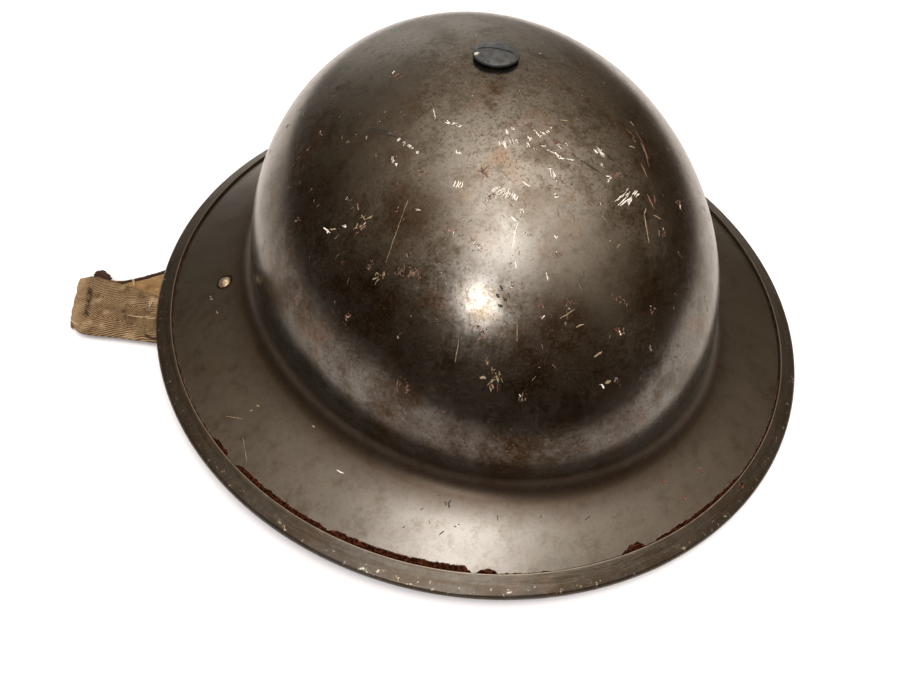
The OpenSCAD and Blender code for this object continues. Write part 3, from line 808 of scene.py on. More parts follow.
    def strip(self, tree: NodeTree, place: Socket) -> Socket:
        """Makes the ragged strip where water stood against the band and the paint rusted away."""
        ragged = add(tree, "TexNoise", {"Vector": place, "Scale": 1 / 2.2, "Detail": 4.0, "Roughness": 0.7})
        wander = levelled(tree, ragged.outputs[0], -1.1, 1.1)
        width, from_band = (stored(tree, name) for name in ("rust_width", "from_band"))
        reach = add(tree, "Math", {0: width, 1: wander}, operation="ADD").outputs[0]
        inside = add(tree, "Math", {0: reach, 1: from_band}, operation="SUBTRACT").outputs[0]
        return ramp(tree, inside, 0.0, 0.3)

    def build(self) -> Material:
        """Builds the material."""
        tint = linear(self.slanting)
        return surface(self.name, self.layers, bump_mm=0.09, Metallic=self.metal_share, Specular_Tint=tint)


@dataclass(frozen=True)
class Studio:
    """White sheet, soft overhead light and the photograph's camera."""

    # Camera: angle round the helmet, height angle, roll, distance and aim in millimetres
    azimuth: float = -20.0
    elevation: float = 48.9
    roll: float = 3.87
    distance: float = 288.72
    aim: tuple[float, float, float] = (-32.93, -61.23, 41.8)
    focal_px: float = 772.4
    frame_px: float = 900.0
    # Distances from the eye between which the bowl lies
    search_from: int = 100
    search_to: int = 420
    sheet_edges: tuple[float, float, float, float] = (-400.0, -235.0, 480.0, 500.0)
    far_edge: float = 4500.0
    # Each light's direction, spread in degrees, radiance and colour, as the gloss paint mirrors them
    glows: tuple[tuple[tuple[float, float, float], float, float, str], ...] = (
        ((0.10, 0.0, 0.995), 21.0, 2.8, "#ffffff"),
        ((0.10, 0.0, 0.995), 32.0, 1.32, "#ffdcae"),
        ((-0.16, -0.335, 0.93), 9.5, 5.4, "#fbfcff"),
        ((-0.415, -0.615, 0.67), 3.9, 38.0, "#fdfdff"),
        ((0.15, 0.98, 0.15), 16.0, 0.9, "#ffffff"),
    )
    # The dim brown room round the sheet
    room: str = "#b98f58"
    room_strength: float = 0.08

    def axes(self) -> tuple[Vector, Vector, Vector]:
        """Returns the camera's right, up and back directions."""
        az, el, roll = (radians(v) for v in (self.azimuth, self.elevation, self.roll))
        back = Vector((sin(az) * cos(el), -cos(az) * cos(el), sin(el)))
        right = (-back).cross(Vector((0, 0, 1))).normalized()
        up = right.cross(-back)
        turned = right * cos(roll) + up * sin(roll)
        upright = up * cos(roll) - right * sin(roll)
        return turned, upright, back

    def sight(self, px: tuple[float, float]) -> tuple[np.ndarray, np.ndarray]:
        """Returns the eye's place and the way in which a pixel of the photograph is seen."""
        right, up, back = self.axes()
        across, down = px[0] - self.frame_px / 2, px[1] - self.frame_px * 3 / 8
        way = np.array(right * across - up * down - back * self.focal_px) / self.focal_px
        return np.array(Vector(self.aim) + back * self.distance), way

    def on_bowl(self, px: tuple[float, float]) -> np.ndarray:
        """Finds the point of the bowl that a pixel of the photograph shows.

        Args:
            px: The pixel, from the frame's upper left corner.
        Returns:
            The point in millimetres.
        """
        eye, way = self.sight(px)

        def outside(t: float) -> float:
            """Returns a number above 0 outside the bowl and below 0 inside."""
            x, y, z = eye + way * t
            plan = hypot(x / FORM.bowl_x, (y - FORM.shift) / FORM.bowl_y) ** FORM.bowl_p
            return plan + (max(0.0, z - FORM.base_z) / (FORM.crown - FORM.base_z)) ** FORM.bowl_q - 1

        near = min(range(self.search_from, self.search_to), key=lambda t: 0 if outside(t) <= 0 else 1)
        low, high = near - 1.0, float(near)
        for _ in range(30):
            middle = (low + high) / 2
            low, high = (middle, high) if outside(middle) > 0 else (low, middle)
        return eye + way * high

    def on_brim(self, px: tuple[float, float]) -> np.ndarray:
        """Finds the point of the brim that a pixel of the photograph shows.

        Args:
            px: The pixel, from the frame's upper left corner.
        Returns:
            The point in millimetres.
        """
        eye, way = self.sight(px)
        point = eye - way * eye[2] / way[2]
        for _ in range(12):
            point = eye + way * ((FORM.brim_height(point) - eye[2]) / way[2])
        return point

    def camera(self) -> None:
        """Places the camera as the photograph's was."""
        turned, upright, back = self.axes()
        place = (Vector(self.aim) + back * self.distance) * MM
        data = bpy.data.cameras.new("camera")
        data.sensor_width = 36.0
        data.lens = self.focal_px * data.sensor_width / self.frame_px
        data.clip_start = 0.01
        made = bpy.data.objects.new("camera", data)
        made.matrix_world = Matrix.Translation(place) @ Matrix((turned, upright, back)).transposed().to_4x4()
        bpy.context.scene.collection.objects.link(made)
        bpy.context.scene.camera = made

    def floor(self) -> None:
        """Lays the white sheet under the helmet, tilted as the strap under one rim makes it."""
        tilt = FORM.stack / (2 * FORM.rim_x)
        paper = surface("white_paper", lambda tree: ("#e5e7ee", 0.9, None), Specular_IOR_Level=0.2)
        far = self.far_edge
        x0, y0, x1, y1 = self.sheet_edges
        across, along = (-far, x0, x1, far), (-far, y0, y1, far)
        for i in range(3):
            for j in range(3):
                square = ((across[i], along[j]), (across[i + 1], along[j]))
                square += ((across[i + 1], along[j + 1]), (across[i], along[j + 1]))
                corners_at = [(x, y, -tilt * (FORM.rim_x - x)) for x, y in square]
                made = mesh_object("paper", corners_at, [(0, 1, 2, 3)], smooth=False)
                made.data.materials.append(paper)
                # The gloss paint mirrors the sheet as far as its real edge only
                made.visible_glossy = i == 1 and j == 1

    def light(self) -> None:
        """Lights the scene with a wide soft glow overhead, a lamp in front and a dim room."""
        world = bpy.data.worlds.new("studio")
        world.use_nodes = True
        tree = world.node_tree
        tree.nodes.clear()
        way = add(tree, "TexCoord").outputs["Generated"]
        total = None
        for direction, spread, strength, colour in self.glows:
            aimed = tuple(Vector(direction).normalized())
            facing = add(tree, "VectorMath", {0: way, 1: aimed}, operation="DOT_PRODUCT").outputs["Value"]
            steep = radians(spread) ** -2
            power = add(tree, "Math", {0: facing, 1: steep, 2: -steep}, operation="MULTIPLY_ADD").outputs[0]
            glow = times(tree, add(tree, "Math", {0: power}, operation="EXPONENT").outputs[0], strength)
            lit = add(tree, "Background", {"Color": linear(colour), "Strength": glow}).outputs[0]
            total = lit if total is None else add(tree, "AddShader", {0: total, 1: lit}).outputs[0]
        room = add(tree, "Background", {"Color": linear(self.room), "Strength": self.room_strength})
        both = add(tree, "AddShader", {0: total, 1: room.outputs[0]})
        backdrop = add(tree, "Background", {"Color": linear("#ffffff"), "Strength": 1.0})
        seen = add(tree, "LightPath").outputs["Is Camera Ray"]
        ground = add(tree, "MixShader", {0: seen, 1: both.outputs[0], 2: backdrop.outputs[0]})
        add(tree, "OutputWorld", {"Surface": ground.outputs[0]})
        bpy.context.scene.world = world

    def build(self) -> None:
        """Builds camera, sheet and light."""
        self.camera()
        self.floor()
        self.light()
        bpy.context.scene.view_settings.view_transform = "Standard"


@dataclass(frozen=True)
class RubbedPaint(ServicePaint):
    """The band's paint: fewer stains than the bowl's, rubbed to the metal along the front edge, with a
    painted highlight along its inner edge.
    """

    name: str = "rubbed_paint_on_band"
    olive: str = "#47433e"
    gloss: float = 0.34
    rust_strip: bool = False
    # Steel that the rubbing bared, and the painted highlight along the inner edge
    bare_and_highlight: str = "#c9bfae"
    # How much longer the streaks are than they are wide, as a share
    streak: float = 0.07

    def layers(self, tree: NodeTree) -> Finish:
        """Makes the paint's colour, roughness and height, with the rubbed edge and the painted highlight line
        laid over.
        """
        colour, rough, _ = ServicePaint.layers(self, tree)
        place = millimetres(tree)
        lay = stored(tree, "lay", "Vector")
        across = add(tree, "SeparateXYZ", {0: lay}).outputs[0]
        # edge is the rubbed outer fold; inner is a painted highlight along the band's inner edge
        edge, inner = ramp(tree, across, 1.9, 0.6), ramp(tree, across, 4.9, 5.3)
        chips = patches(tree, place, 2.0, 0.6, 0.66, 5.0, 0.7, seed=7)
        # worn holds the rubbed chips and the painted highlight line
        worn = times(tree, most(tree, times(tree, edge, chips), times(tree, inner, 0.45)), 0.7)
        # Rubbing along the rim drew the paint out into streaks that run with it
        drawn = add(tree, "VectorMath", {0: lay, 1: (1.0, self.streak, 1.0)}, operation="MULTIPLY").outputs[0]
        streaks = patches(tree, drawn, 1.5, 0.42, 0.66, 4.0, 0.65, seed=8)
        colour = blended(tree, times(tree, streaks, 0.4), colour, self.stain)
        # The bared-steel colour paints both the rubbed wear and the inner edge's painted highlight
        colour = blended(tree, worn, colour, self.bare_and_highlight)
        return colour, rough, times(tree, streaks, 0.5)


@dataclass(frozen=True)
class Metal:
    """Bare or blackened metal with handling marks: it gives the eye small hard glints among the webbing."""

    name: str
    colour: str
    tarnish: str
    rough: float = 0.38
    metallic: float = 1.0
    # Size of the tarnish's patches
    patch_mm: float = 2.2

    def layers(self, tree: NodeTree) -> Finish:
        """Makes the metal's colour, roughness and height."""
        place = millimetres(tree)
        cloud = patches(tree, place, self.patch_mm, 0.4, 0.68, 5.0, 0.7)
        spots = specks(tree, place, 2.6, 0.45, 0.35)
        dull = most(tree, cloud, spots)
        height = levelled(tree, spots, 0.5, 0.1)
        return blended(tree, dull, self.colour, self.tarnish), levelled(tree, dull, self.rough, 0.75), height

    def build(self) -> Material:
        """Builds the material."""
        return surface(self.name, self.layers, bump_mm=0.05, Metallic=self.metallic)


@dataclass(frozen=True)
class Webbing:
    """Cotton webbing in herringbone twill with painted shade in the grooves between its ribs, grubby and
    rubbed pale at its folds.
    """

    name: str = "herringbone_cotton_webbing"
    yarn: str = "#a08868"
    # Painted shade in the grooves between the ribs, also the darker fuzz
    groove_shade_and_fuzz: str = "#3a2917"
    grime: str = "#2f1e10"
    worn: str = "#c2aa86"
    # Stain colour, which also paints the hole's shade
    soil_and_shade: str = "#2a1c10"
    # How far the ribs stray from straight, in millimetres
    stray: float = 1.1
    # Distance between the twill's ribs, their slant, and the width of one chevron stripe
    rib_mm: float = 1.0
    slant_deg: float = 28.0
    stripe_mm: float = 12.5
    grime_mm: float = 6.0

    def layers(self, tree: NodeTree) -> Finish:
        """Makes the webbing's colour, roughness and height."""
        weave = add(tree, "SeparateXYZ", {0: stored(tree, "weave", "Vector")})
        along, across, plain = weave.outputs
        place = millimetres(tree)
        zig = add(tree, "Math", {0: across, 1: self.stripe_mm}, operation="PINGPONG").outputs[0]
        turn = radians(self.slant_deg)
        slant = times(tree, along, sin(turn))
        phase = add(tree, "Math", {0: times(tree, zig, cos(turn)), 1: slant})
        wander = add(tree, "TexNoise", {"Vector": place, "Scale": 1 / 5.0, "Detail": 3.0})
        strayed = {0: wander.outputs[0], 1: self.stray, 2: phase.outputs[0]}
        bent = add(tree, "Math", strayed, operation="MULTIPLY_ADD")
        wave = add(tree, "Math", {0: times(tree, bent.outputs[0], tau / self.rib_mm)}, operation="SINE")
        rib = most(tree, ramp(tree, wave.outputs[0], -0.9, 0.7), times(tree, plain, 0.85))
        fuzz = patches(tree, place, 0.45, 0.35, 0.65, 3.0, 0.7, seed=2)
        dirt = patches(tree, place, self.grime_mm, 0.46, 0.7, 6.0, 0.7, seed=1)
        rubbed = patches(tree, place, 7.0, 0.5, 0.72, 4.0, 0.6, seed=5)
        # The stored stain carries dirt marks and the hole's painted shade
        marks = stored(tree, "stain")
        # The grooves between the ribs are painted in shade colour
        colour = blended(tree, rib, self.groove_shade_and_fuzz, self.yarn)
        coats = ((fuzz, 0.3, self.groove_shade_and_fuzz), (rubbed, 0.45, self.worn))
        coats += ((dirt, 0.6, self.grime), (marks, 0.9, self.soil_and_shade))
        for pattern, strength, tone in coats:
            colour = blended(tree, times(tree, pattern, strength), colour, tone)
        height = add(tree, "Math", {0: rib, 1: times(tree, fuzz, 0.5)}).outputs[0]
        return colour, levelled(tree, fuzz, 0.85, 1.0), height

    def build(self) -> Material:
        """Builds the material."""
        return surface(self.name, self.layers, bump_mm=0.3, Specular_IOR_Level=0.12)


@dataclass(frozen=True)
class Cloth:
    """Fibrous or grained sheet stuff by its two colours: felt, vulcanised fibre, leathercloth, rubber."""

    name: str
    colour: str
    shade: str
    grain_mm: float
    rough: float = 0.8
    bump_mm: float = 0.15
    sheen: float = 0.0
    grime: str = "#15100a"

    def layers(self, tree: NodeTree) -> Finish:
        """Makes the stuff's colour, roughness and height."""
        place = millimetres(tree)
        grain = add(tree, "TexVoronoi", {"Vector": place, "Scale": 1 / self.grain_mm}, feature="SMOOTH_F1")
        fine = patches(tree, place, self.grain_mm * 0.6, 0.3, 0.7, 4.0, 0.7)
        wear = patches(tree, place, 14.0, 0.45, 0.7, 6.0, 0.65, seed=3)
        dirt = patches(tree, place, 5.0, 0.5, 0.72, 6.0, 0.7, seed=6)
        colour = blended(tree, fine, self.shade, self.colour)
        colour = blended(tree, times(tree, wear, 0.5), colour, self.shade)
        colour = blended(tree, times(tree, dirt, 0.35), colour, self.grime)
        height = add(tree, "Math", {0: grain.outputs["Distance"], 1: times(tree, fine, 0.6)}).outputs[0]
        return colour, levelled(tree, wear, self.rough, min(1.0, self.rough + 0.15)), height

    def build(self) -> Material:
        """Builds the material."""
        return surface(self.name, self.layers, bump_mm=self.bump_mm, Sheen_Weight=self.sheen)


def tube(name: str, route: Sequence[Point], radius: float | Sequence[float], sides: int = 8) -> Object:
    """Makes a round tube along a route.

    Args:
        name: The object's name.
        route: Points of the centre line in millimetres.
        radius: The radius, or one for each point.
        sides: How many sides the tube has.
    Returns:
        The tube, closed at both ends.
    """
    line = np.asarray(route, float)
    widths = np.broadcast_to(np.asarray(radius, float), (len(line),))
    ways = np.gradient(line, axis=0)
    normal = np.cross(ways[0], (0.3, 0.2, 1.0))
    rings = []
    for point, way, width in zip(line, ways, widths):
        way = way / np.linalg.norm(way)
        normal = normal - way * float(normal @ way)
        normal = normal / np.linalg.norm(normal)
        side = np.cross(way, normal)
        turns = [tau * k / sides for k in range(sides)]
        rings.append([point + (normal * cos(t) + side * sin(t)) * width for t in turns])
    return skin(name, rings)


def lathe(name: str, profile: Sequence[tuple[float, float]], steps: int, closed: bool = True) -> Object:
    """Turns a profile of radius and height round the helmet's crown axis.

    Args:
        name: The object's name.
        profile: Radius and height pairs in millimetres.
        steps: How many sides it has.
        closed: Whether the profile's ends join, as in a ring.
    Returns:
        The turned object.
    """
    rings = []
    for i in range(steps):
        a = tau * i / steps
        rings.append([np.array([r * cos(a), FORM.shift + r * sin(a), z]) for r, z in profile])
    if closed:
        return skin(name, rings, loop=True)
    columns = [[ring[j] for ring in rings] for j in range(len(profile))]
    return skin(name, columns)


def finished(piece: Object, material: Material, body: Body) -> Object:
    """Gives a piece its material and the body that carries it."""
    piece.data.materials.append(material)
    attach(piece, body.value)
    return piece


@dataclass
class Ribbon:
    """A flat woven strap along pairs of edge points, with the weave's place stored on it."""

    name: str
    # Left and right edge points; the upper face is up where left lies to the left of the way
    stations: Sequence[tuple[Point, Point]]
    thick: float = 1.8
    steps: int = 10
    columns: int = 30
    # Lift of the upper face, plainness of the weave and stain, which also holds painted shade, each by the
    # place on the strap
    lift: Callable[[Point], float] = field(default=lambda p: 0.0)
    plain: Callable[[Point], float] = field(default=lambda p: 0.0)
    stain: Callable[[Point], float] = field(default=lambda p: 0.0)

    def build(self) -> Object:
        """Builds the strap's mesh."""
        count = (len(self.stations) - 1) * self.steps + 1
        left = np.array(through([s[0] for s in self.stations], count))
        right = np.array(through([s[1] for s in self.stations], count))
        middle = (left + right) / 2
        ways = np.gradient(middle, axis=0)
        along = np.concatenate([[0.0], np.cumsum(np.linalg.norm(np.diff(middle, axis=0), axis=1))])
        rings, weave, stains = [], [], []
        for i in range(count):
            over = np.cross(right[i] - left[i], ways[i])
            over = over / np.linalg.norm(over)
            width = float(np.linalg.norm(right[i] - left[i]))
            ring = []
            for face in (1, -1):
                for j in range(self.columns + 1):
                    s = j / self.columns if face > 0 else 1 - j / self.columns
                    half = self.thick / 2 * (1 - abs(2 * s - 1) ** 10 * 0.65)
                    base = lie(left[i], right[i], s)
                    rise = half * face + (self.lift(base) if face > 0 else 0.0)
                    ring.append(base + over * rise)
                    weave.append((along[i], s * width, self.plain(base)))
                    # The stain number carries painted shade as well as dirt
                    stains.append(self.stain(base) if face > 0 else 0.0)
            rings.append(ring)
        made = skin(self.name, rings)
        note_vector(made, "weave", weave)
        note(made, "stain", stains)
        return made


def bump_at(p: Point, centre: Point, size: float) -> float:
    """Returns 1 at a plan point and a smooth fall to 0 at a distance from it."""
    return 1 - smooth_step(0, size, dist(p[:2], centre[:2]))


def near_line(p: Point, a: Point, b: Point, width: float) -> float:
    """Returns 1 on the plan line between two points and a smooth fall to 0 at a distance from it."""
    a, b, p = (np.asarray(v[:2], float) for v in (a, b, p))
    t = float(np.clip((p - a) @ (b - a) / ((b - a) @ (b - a)), 0, 1))
    return 1 - smooth_step(0, width, float(np.linalg.norm(p - a - (b - a) * t)))


def swelling(count: int, least: float, more: float, power: float = 1.0) -> list[float]:
    """Returns radii that swell in the middle of a frayed tuft."""
    return [least + more * sin(pi * (k + 0.5) / count) ** power for k in range(count)]


@dataclass
class Chinstrap:
    """Two halves of webbing: the left one folded out under the rim, the right one stored inside."""

    width: float = 25.0
    thick: float = 1.8
    lug_angle: float = 9.4
    bar_z: float = 7.659
    left_bar_r: float = 106.2
    right_bar_r: float = 102.3
    loop_r: float = 2.25
    # Height above the level surface of each ply's middle
    upper_lift: float = 3.1
    lower_lift: float = 0.95
    # Plan points of the left strap's edges at the fold and on the way in
    fold: tuple[Point, Point] = ((-175.05, 53.2), (-179.15, 24.0))
    upper: tuple[tuple[Point, Point], ...] = (
        ((-169.0, 53.0), (-175.5, 18.2)), ((-160.5, 46.6), (-161.0, 11.6)), ((-151.1, 39.2), (-150.4, 6.6)),
        ((-142.6, 32.3), (-143.8, 3.9)), ((-134.5, 29.6), (-135.5, 3.3)),
    )
    lower: tuple[tuple[Point, Point], ...] = (
        ((-168.0, 52.6), (-170.5, 23.4)), ((-159.0, 49.4), (-160.0, 22.8)),
        ((-150.0, 48.4), (-150.6, 22.8)), ((-138.5, 49.8), (-138.8, 24.4)),
        ((-128.0, 51.0), (-128.0, 26.0)),
    )
    buckle_bar: Point = (-118.0, 39.0, -1.311)
    buckle_loop_r: float = 1.85
    lining_thick: float = 1.5
    thread_r: float = 0.16
    stitch_r: float = 0.2
    # Distances and heights of the right strap's middle on its way down from the bail
    right_slope: tuple[tuple[float, float], ...] = ((100.05, 6.61), (95.3, 4.66), (89.8, 2.46))
    right_lift: float = 2.25
    # Distances at which it lies level, and those of its two seams
    right_level: tuple[float, ...] = (84.3, 60.0, 30.0, 0.0, -30.0, -57.3)
    right_seams: tuple[float, float] = (93.0, 91.0)
    # Marks on the upper ply: a hole painted dark as shade, the ragged stitch line by the fold, and the
    # puckered seam
    hole: Point = (-157.4, 26.0)
    stitch_line: tuple[Point, Point, Point] = ((-171.3, 45.9), (-172.2, 37.6), (-173.5, 28.3))
    seams: tuple[tuple[Point, Point], ...] = (
        ((-155.3, 39.7), (-156.1, 14.5)),
        ((-149.0, 38.0), (-149.2, 9.5)),
    )
    pucker_mm: float = 0.85
    # Plan points of the dark tube along the lining's edge, the frayed fold corner, the dark front corner tuft
    # and the rolled selvedge
    lining_edge: tuple[Point, ...] = (
        (-164.7, 49.9), (-160.8, 47.3), (-157.7, 46.9), (-154.1, 47.3), (-149.0, 47.4), (-143.0, 48.4),
        (-136.0, 49.7),
    )
    fold_corner: tuple[Point, ...] = (
        (-169.6, 52.6), (-168.4, 54.2), (-166.6, 54.2), (-165.3, 52.3), (-163.9, 50.6), (-162.6, 49.4),
    )
    front_corner: tuple[Point, ...] = (
        (-175.4, 21.6), (-174.0, 20.0), (-172.4, 18.7), (-170.4, 18.0), (-168.6, 17.6),
    )
    selvedge: tuple[Point, ...] = ((-149.6, 10.0), (-148.2, 7.9), (-146.4, 6.4), (-144.2, 5.2))
    # Loose threads in plan, and how many of them lie on the lining
    strands: tuple[tuple[Point, ...], ...] = (
        ((-152.8, 47.6), (-152.5, 45.4), (-153.0, 43.2)), ((-153.3, 47.0), (-152.9, 45.0), (-152.4, 43.5)),
        ((-155.8, 22.6), (-152.5, 21.2), (-149.6, 19.9), (-146.2, 18.8)),
        ((-150.5, 19.6), (-147.0, 18.4), (-144.0, 17.6)), ((-146.6, 25.2), (-145.6, 26.8), (-144.9, 28.6)),
        ((-146.4, 28.9), (-145.9, 27.0), (-146.2, 25.4)), ((-179.6, 26.2), (-178.4, 24.2), (-176.6, 22.6)),
    )
    lining_strands: int = 2

    def floor(self, x: float) -> float:
        """Returns the height of the level surface that the helmet lies on."""
        return -FORM.stack * (FORM.rim_x - x) / (2 * FORM.rim_x)

    def laid(self, pair: tuple[Point, Point], lift: float) -> tuple[np.ndarray, np.ndarray]:
        """Returns two plan points at a height above the level surface."""
        return tuple(np.array([p[0], p[1], self.floor(p[0]) + lift]) for p in pair)

    def at_lug(self, side: int, r: float, z: float) -> tuple[np.ndarray, np.ndarray]:
        """Returns the strap's front and back edge at a distance from the helmet's axis, at a side's lug."""
        turn = radians(self.lug_angle)
        way = np.array([side * cos(turn), sin(turn)])
        across = np.array([-side * sin(turn), cos(turn)]) * self.width / 2
        return np.array([*(way * r - across), z]), np.array([*(way * r + across), z])

    def round_bail(self, bar_r: float, turns: Sequence[float]) -> list[tuple[float, float]]:
        """Returns the distances and heights of the webbing's middle round a bail's bar."""
        turned = [radians(turn) for turn in turns]
        return [(bar_r + self.loop_r * cos(t), self.bar_z + self.loop_r * sin(t)) for t in turned]

    def folded(self, p: Point) -> float:
        """Returns how plain and pressed the webbing is, which it is at the fold."""
        return near_line(p, *self.fold, 5.5)

    def pucker(self, p: Point) -> float:
        """Returns the upper ply's lift at the seam, the stitch line and the hole."""
        rise = 0.0
        for a, b in self.seams:
            uneven = 0.6 + 0.8 * ripple(p, 3, 2.2, 0)
            rise += near_line(p, a, b, 3.0) * self.pucker_mm * uneven
        rise -= near_line(p, self.stitch_line[0], self.stitch_line[2], 1.6) * 0.35
        rise -= bump_at(p, self.hole, 1.7) * 0.7
        rise += 0.4 * ripple(p, 7, 5, 3.0)
        rise += 0.22 * ripple(p, 2.6, 1.8, 6.0)
        return rise

    def soiled_and_shaded(self, p: Point) -> float:
        """Returns how dark the upper ply is stained at the stitches and the seam, and painted in shade at the
        hole.
        """
        ragged = 0.5 + 0.9 * ripple(p, 1.3, 1.3, 1.0)
        first, middle, last = self.stitch_line
        line = max(near_line(p, first, middle, 2.0), near_line(p, middle, last, 1.7))
        line *= smooth_step(0.15, 0.6, ragged) * 1.3
        frayed = near_line(p, (-168.0, 53.2), (-160.5, 46.9), 1.4)
        seams = max(near_line(p, a, b, 1.1) for a, b in self.seams) * smooth_step(0.45, 0.8, ragged)
        edge = near_line(p, (-156.0, 30.5), (-146.0, 17.0), 0.8) * smooth_step(0.4, 0.9, ragged) * 0.6
        # The hole's dark spot is painted shade
        return min(1.0, max(line, bump_at(p, self.hole, 1.8) * 1.4, frayed * 0.8, seams * 0.55, edge))

    def limp(self, p: Point) -> float:
        """Returns the slight waves of the stored right strap."""
        return 0.22 * ripple(p, 9, 7, 8.0)

    def left_half(self, webbing: Material) -> Object:
        """Makes the left strap from under its fold up, in along the upper ply and round the bail."""
        high, low = self.laid(self.fold, self.upper_lift), self.laid(self.fold, self.lower_lift)
        line = high[0] - high[1]
        out = np.array([-line[1], line[0], 0.0]) / np.linalg.norm(line[:2])
        stations = [low]
        radius = (self.upper_lift - self.lower_lift) / 2
        for turn in (-45, 0, 45):
            t = radians(turn)
            shift = out * radius * cos(t) + np.array([0, 0, radius * sin(t)])
            stations.append(tuple(lie(a, b, 0.5) + shift for a, b in zip(low, high)))
        stations.append(high)
        stations += [self.laid(pair, self.upper_lift) for pair in self.upper]
        loop = [(self.left_bar_r + self.loop_r, self.bar_z - 1.05)]
        loop += self.round_bail(self.left_bar_r, (-70, -120, -170, -220, -270, -320, -350))
        stations += [self.at_lug(-1, r, z)[::-1] for r, z in loop]
        marks = (self.pucker, self.folded, self.soiled_and_shaded)
        made = Ribbon("left_strap_webbing", stations, self.thick, 12, 44, *marks).build()
        made.data.materials.append(webbing)
        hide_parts("strap_left")
        middle = lie(*self.fold, 0.5)
        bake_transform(made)
        return made

    def left_return(self, lining: Material) -> Object:
        """Makes the return ply, with its tan lining up, from the fold to the buckle's bar."""
        start = [self.laid(tuple(lie(a, b, 0.06) for a, b in zip(self.fold, self.lower[0])), self.lower_lift)]
        stations = start + [self.laid(pair, self.lower_lift) for pair in self.lower]
        x, y, z = self.buckle_bar
        for turn in (-95, -50, 0, 50, 100, 150, 185):
            t = radians(turn)
            px, pz = x + self.buckle_loop_r * cos(t), z + self.buckle_loop_r * sin(t)
            stations.append(((px, y + self.width / 2, pz), (px, y - self.width / 2, pz)))
        made = Ribbon("left_return_ply", stations, self.lining_thick, 10, 30).build()
        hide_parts("strap_left_tail")
        return finished(made, lining, Body.LEFT_TAIL)

    def right_half(self, webbing: Material) -> Object:
        """Makes the right strap, from its bail down and in along the lying surface."""
        way_in = self.round_bail(self.right_bar_r, (140, 90, 40, 0, -45, -90, -125)) + list(self.right_slope)
        stations = [self.at_lug(1, r, z) for r, z in way_in]
        for r in self.right_level:
            front, back = self.at_lug(1, r, 0.0)
            stations.append(self.laid((front[:2], back[:2]), self.right_lift))
        made = Ribbon("right_strap_webbing", stations, self.thick, 10, 30, lift=self.limp).build()
        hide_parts("strap_right")
        return finished(made, webbing, Body.RIGHT_STRAP)

    def above(self, plan: Sequence[tuple[float, float]], lift: float, steps: int) -> list[Point]:
        """Returns a smooth route through plan points at a height above the level surface."""
        return through([(x, y, self.floor(x) + lift) for x, y in plan], steps)

    def frays(self, dark: Material) -> None:
        """Adds a dark tube along the lining's edge, a frayed lump at the fold's corner, a dark tuft at the
        front corner and the rolled selvedge.
        """
        top = self.upper_lift + self.thick / 2
        lower_top = self.lower_lift + self.lining_thick / 2
        route = self.above(self.lining_edge, lower_top + 0.15, 60)
        widths = [0.75 + 0.3 * noise.noise(Vector(p) / 1.4) for p in route]
        finished(tube("dark_lining_edge", route, widths, 7), dark, Body.LEFT_TAIL)
        route = self.above(self.fold_corner, top - 0.6, 50)
        lump = tube("frayed_fold_corner", route, swelling(50, 0.4, 1.25, 0.6), 12)
        for vertex in lump.data.vertices:
            p = vertex.co / MM
            vertex.co += Vector([noise.noise(p / 0.9 + Vector((s, 0, 0))) for s in (0, 9, 18)]) * 0.7 * MM
        finished(lump, dark, Body.LEFT_STRAP)
        route = self.above(self.front_corner, top - 1.5, 24)
        tuft = tube("dark_front_corner", route, swelling(24, 0.25, 0.55))
        finished(tuft, dark, Body.LEFT_STRAP)
        rolled = tube("rolled_selvedge", self.above(self.selvedge, top + 0.1, 20), 0.55)
        finished(rolled, dark, Body.LEFT_STRAP)

    def loose_threads(self, pale: Material) -> None:
        """Adds the loose cream threads, the first ones on the lining and the others on the upper ply."""
        pieces = []
        for number, strand in enumerate(self.strands):
            height = self.lower_lift + self.lining_thick / 2 + 0.7
            if number >= self.lining_strands:
                height = self.upper_lift + self.thick / 2 + 0.45
            points = []
            for k, (x, y) in enumerate(strand):
                points.append((x, y, self.floor(x) + height + 0.3 * sin(2.0 * k + number)))
            pieces.append(tube(f"thread_{number}", through(points, 14), self.thread_r, 5))
        finished(joined("loose_threads", pieces), pale, Body.LEFT_STRAP)

    def stitches(self, thread: Material) -> None:
        """Sews the left strap's seams, and the right strap where it comes back from its bail."""
        top = self.upper_lift + self.thick / 2
        pieces = []
        for a, b in self.seams:
            for k in range(9):
                p, q = lie(a, b, (k + 0.15) / 9), lie(a, b, (k + 0.7) / 9)
                lift = [self.floor(v[0]) + top + self.pucker(v) for v in (p, q)]
                route = [(*p, lift[0] - 0.12), (*lie(p, q, 0.5), sum(lift) / 2 + 0.14), (*q, lift[1] - 0.12)]
                pieces.append(tube("stitch", route, self.stitch_r, 5))
        finished(joined("left_seam_stitches", pieces), thread, Body.LEFT_STRAP)
        pieces = []
        for r in self.right_seams:
            for k in range(8):
                front, back = self.at_lug(1, r, self.right_top(r))
                p, q = lie(front, back, (k + 0.2) / 8), lie(front, back, (k + 0.75) / 8)
                middle = lie(p, q, 0.5) + np.array([0, 0, 0.15])
                pieces.append(tube("stitch", [p, middle, q], self.stitch_r, 5))
        finished(joined("right_seam_stitches", pieces), thread, Body.RIGHT_STRAP)

    def right_top(self, r: float) -> float:
        """Returns the height of the right strap's upper face on its way down from the bail."""
        rs, heights = zip(*self.right_slope[::-1])
        return float(np.interp(r, rs, heights)) + self.thick / 2 + 0.1

    def build(self) -> None:
        """Builds and dresses both straps and their fittings."""
        webbing = Webbing().build()
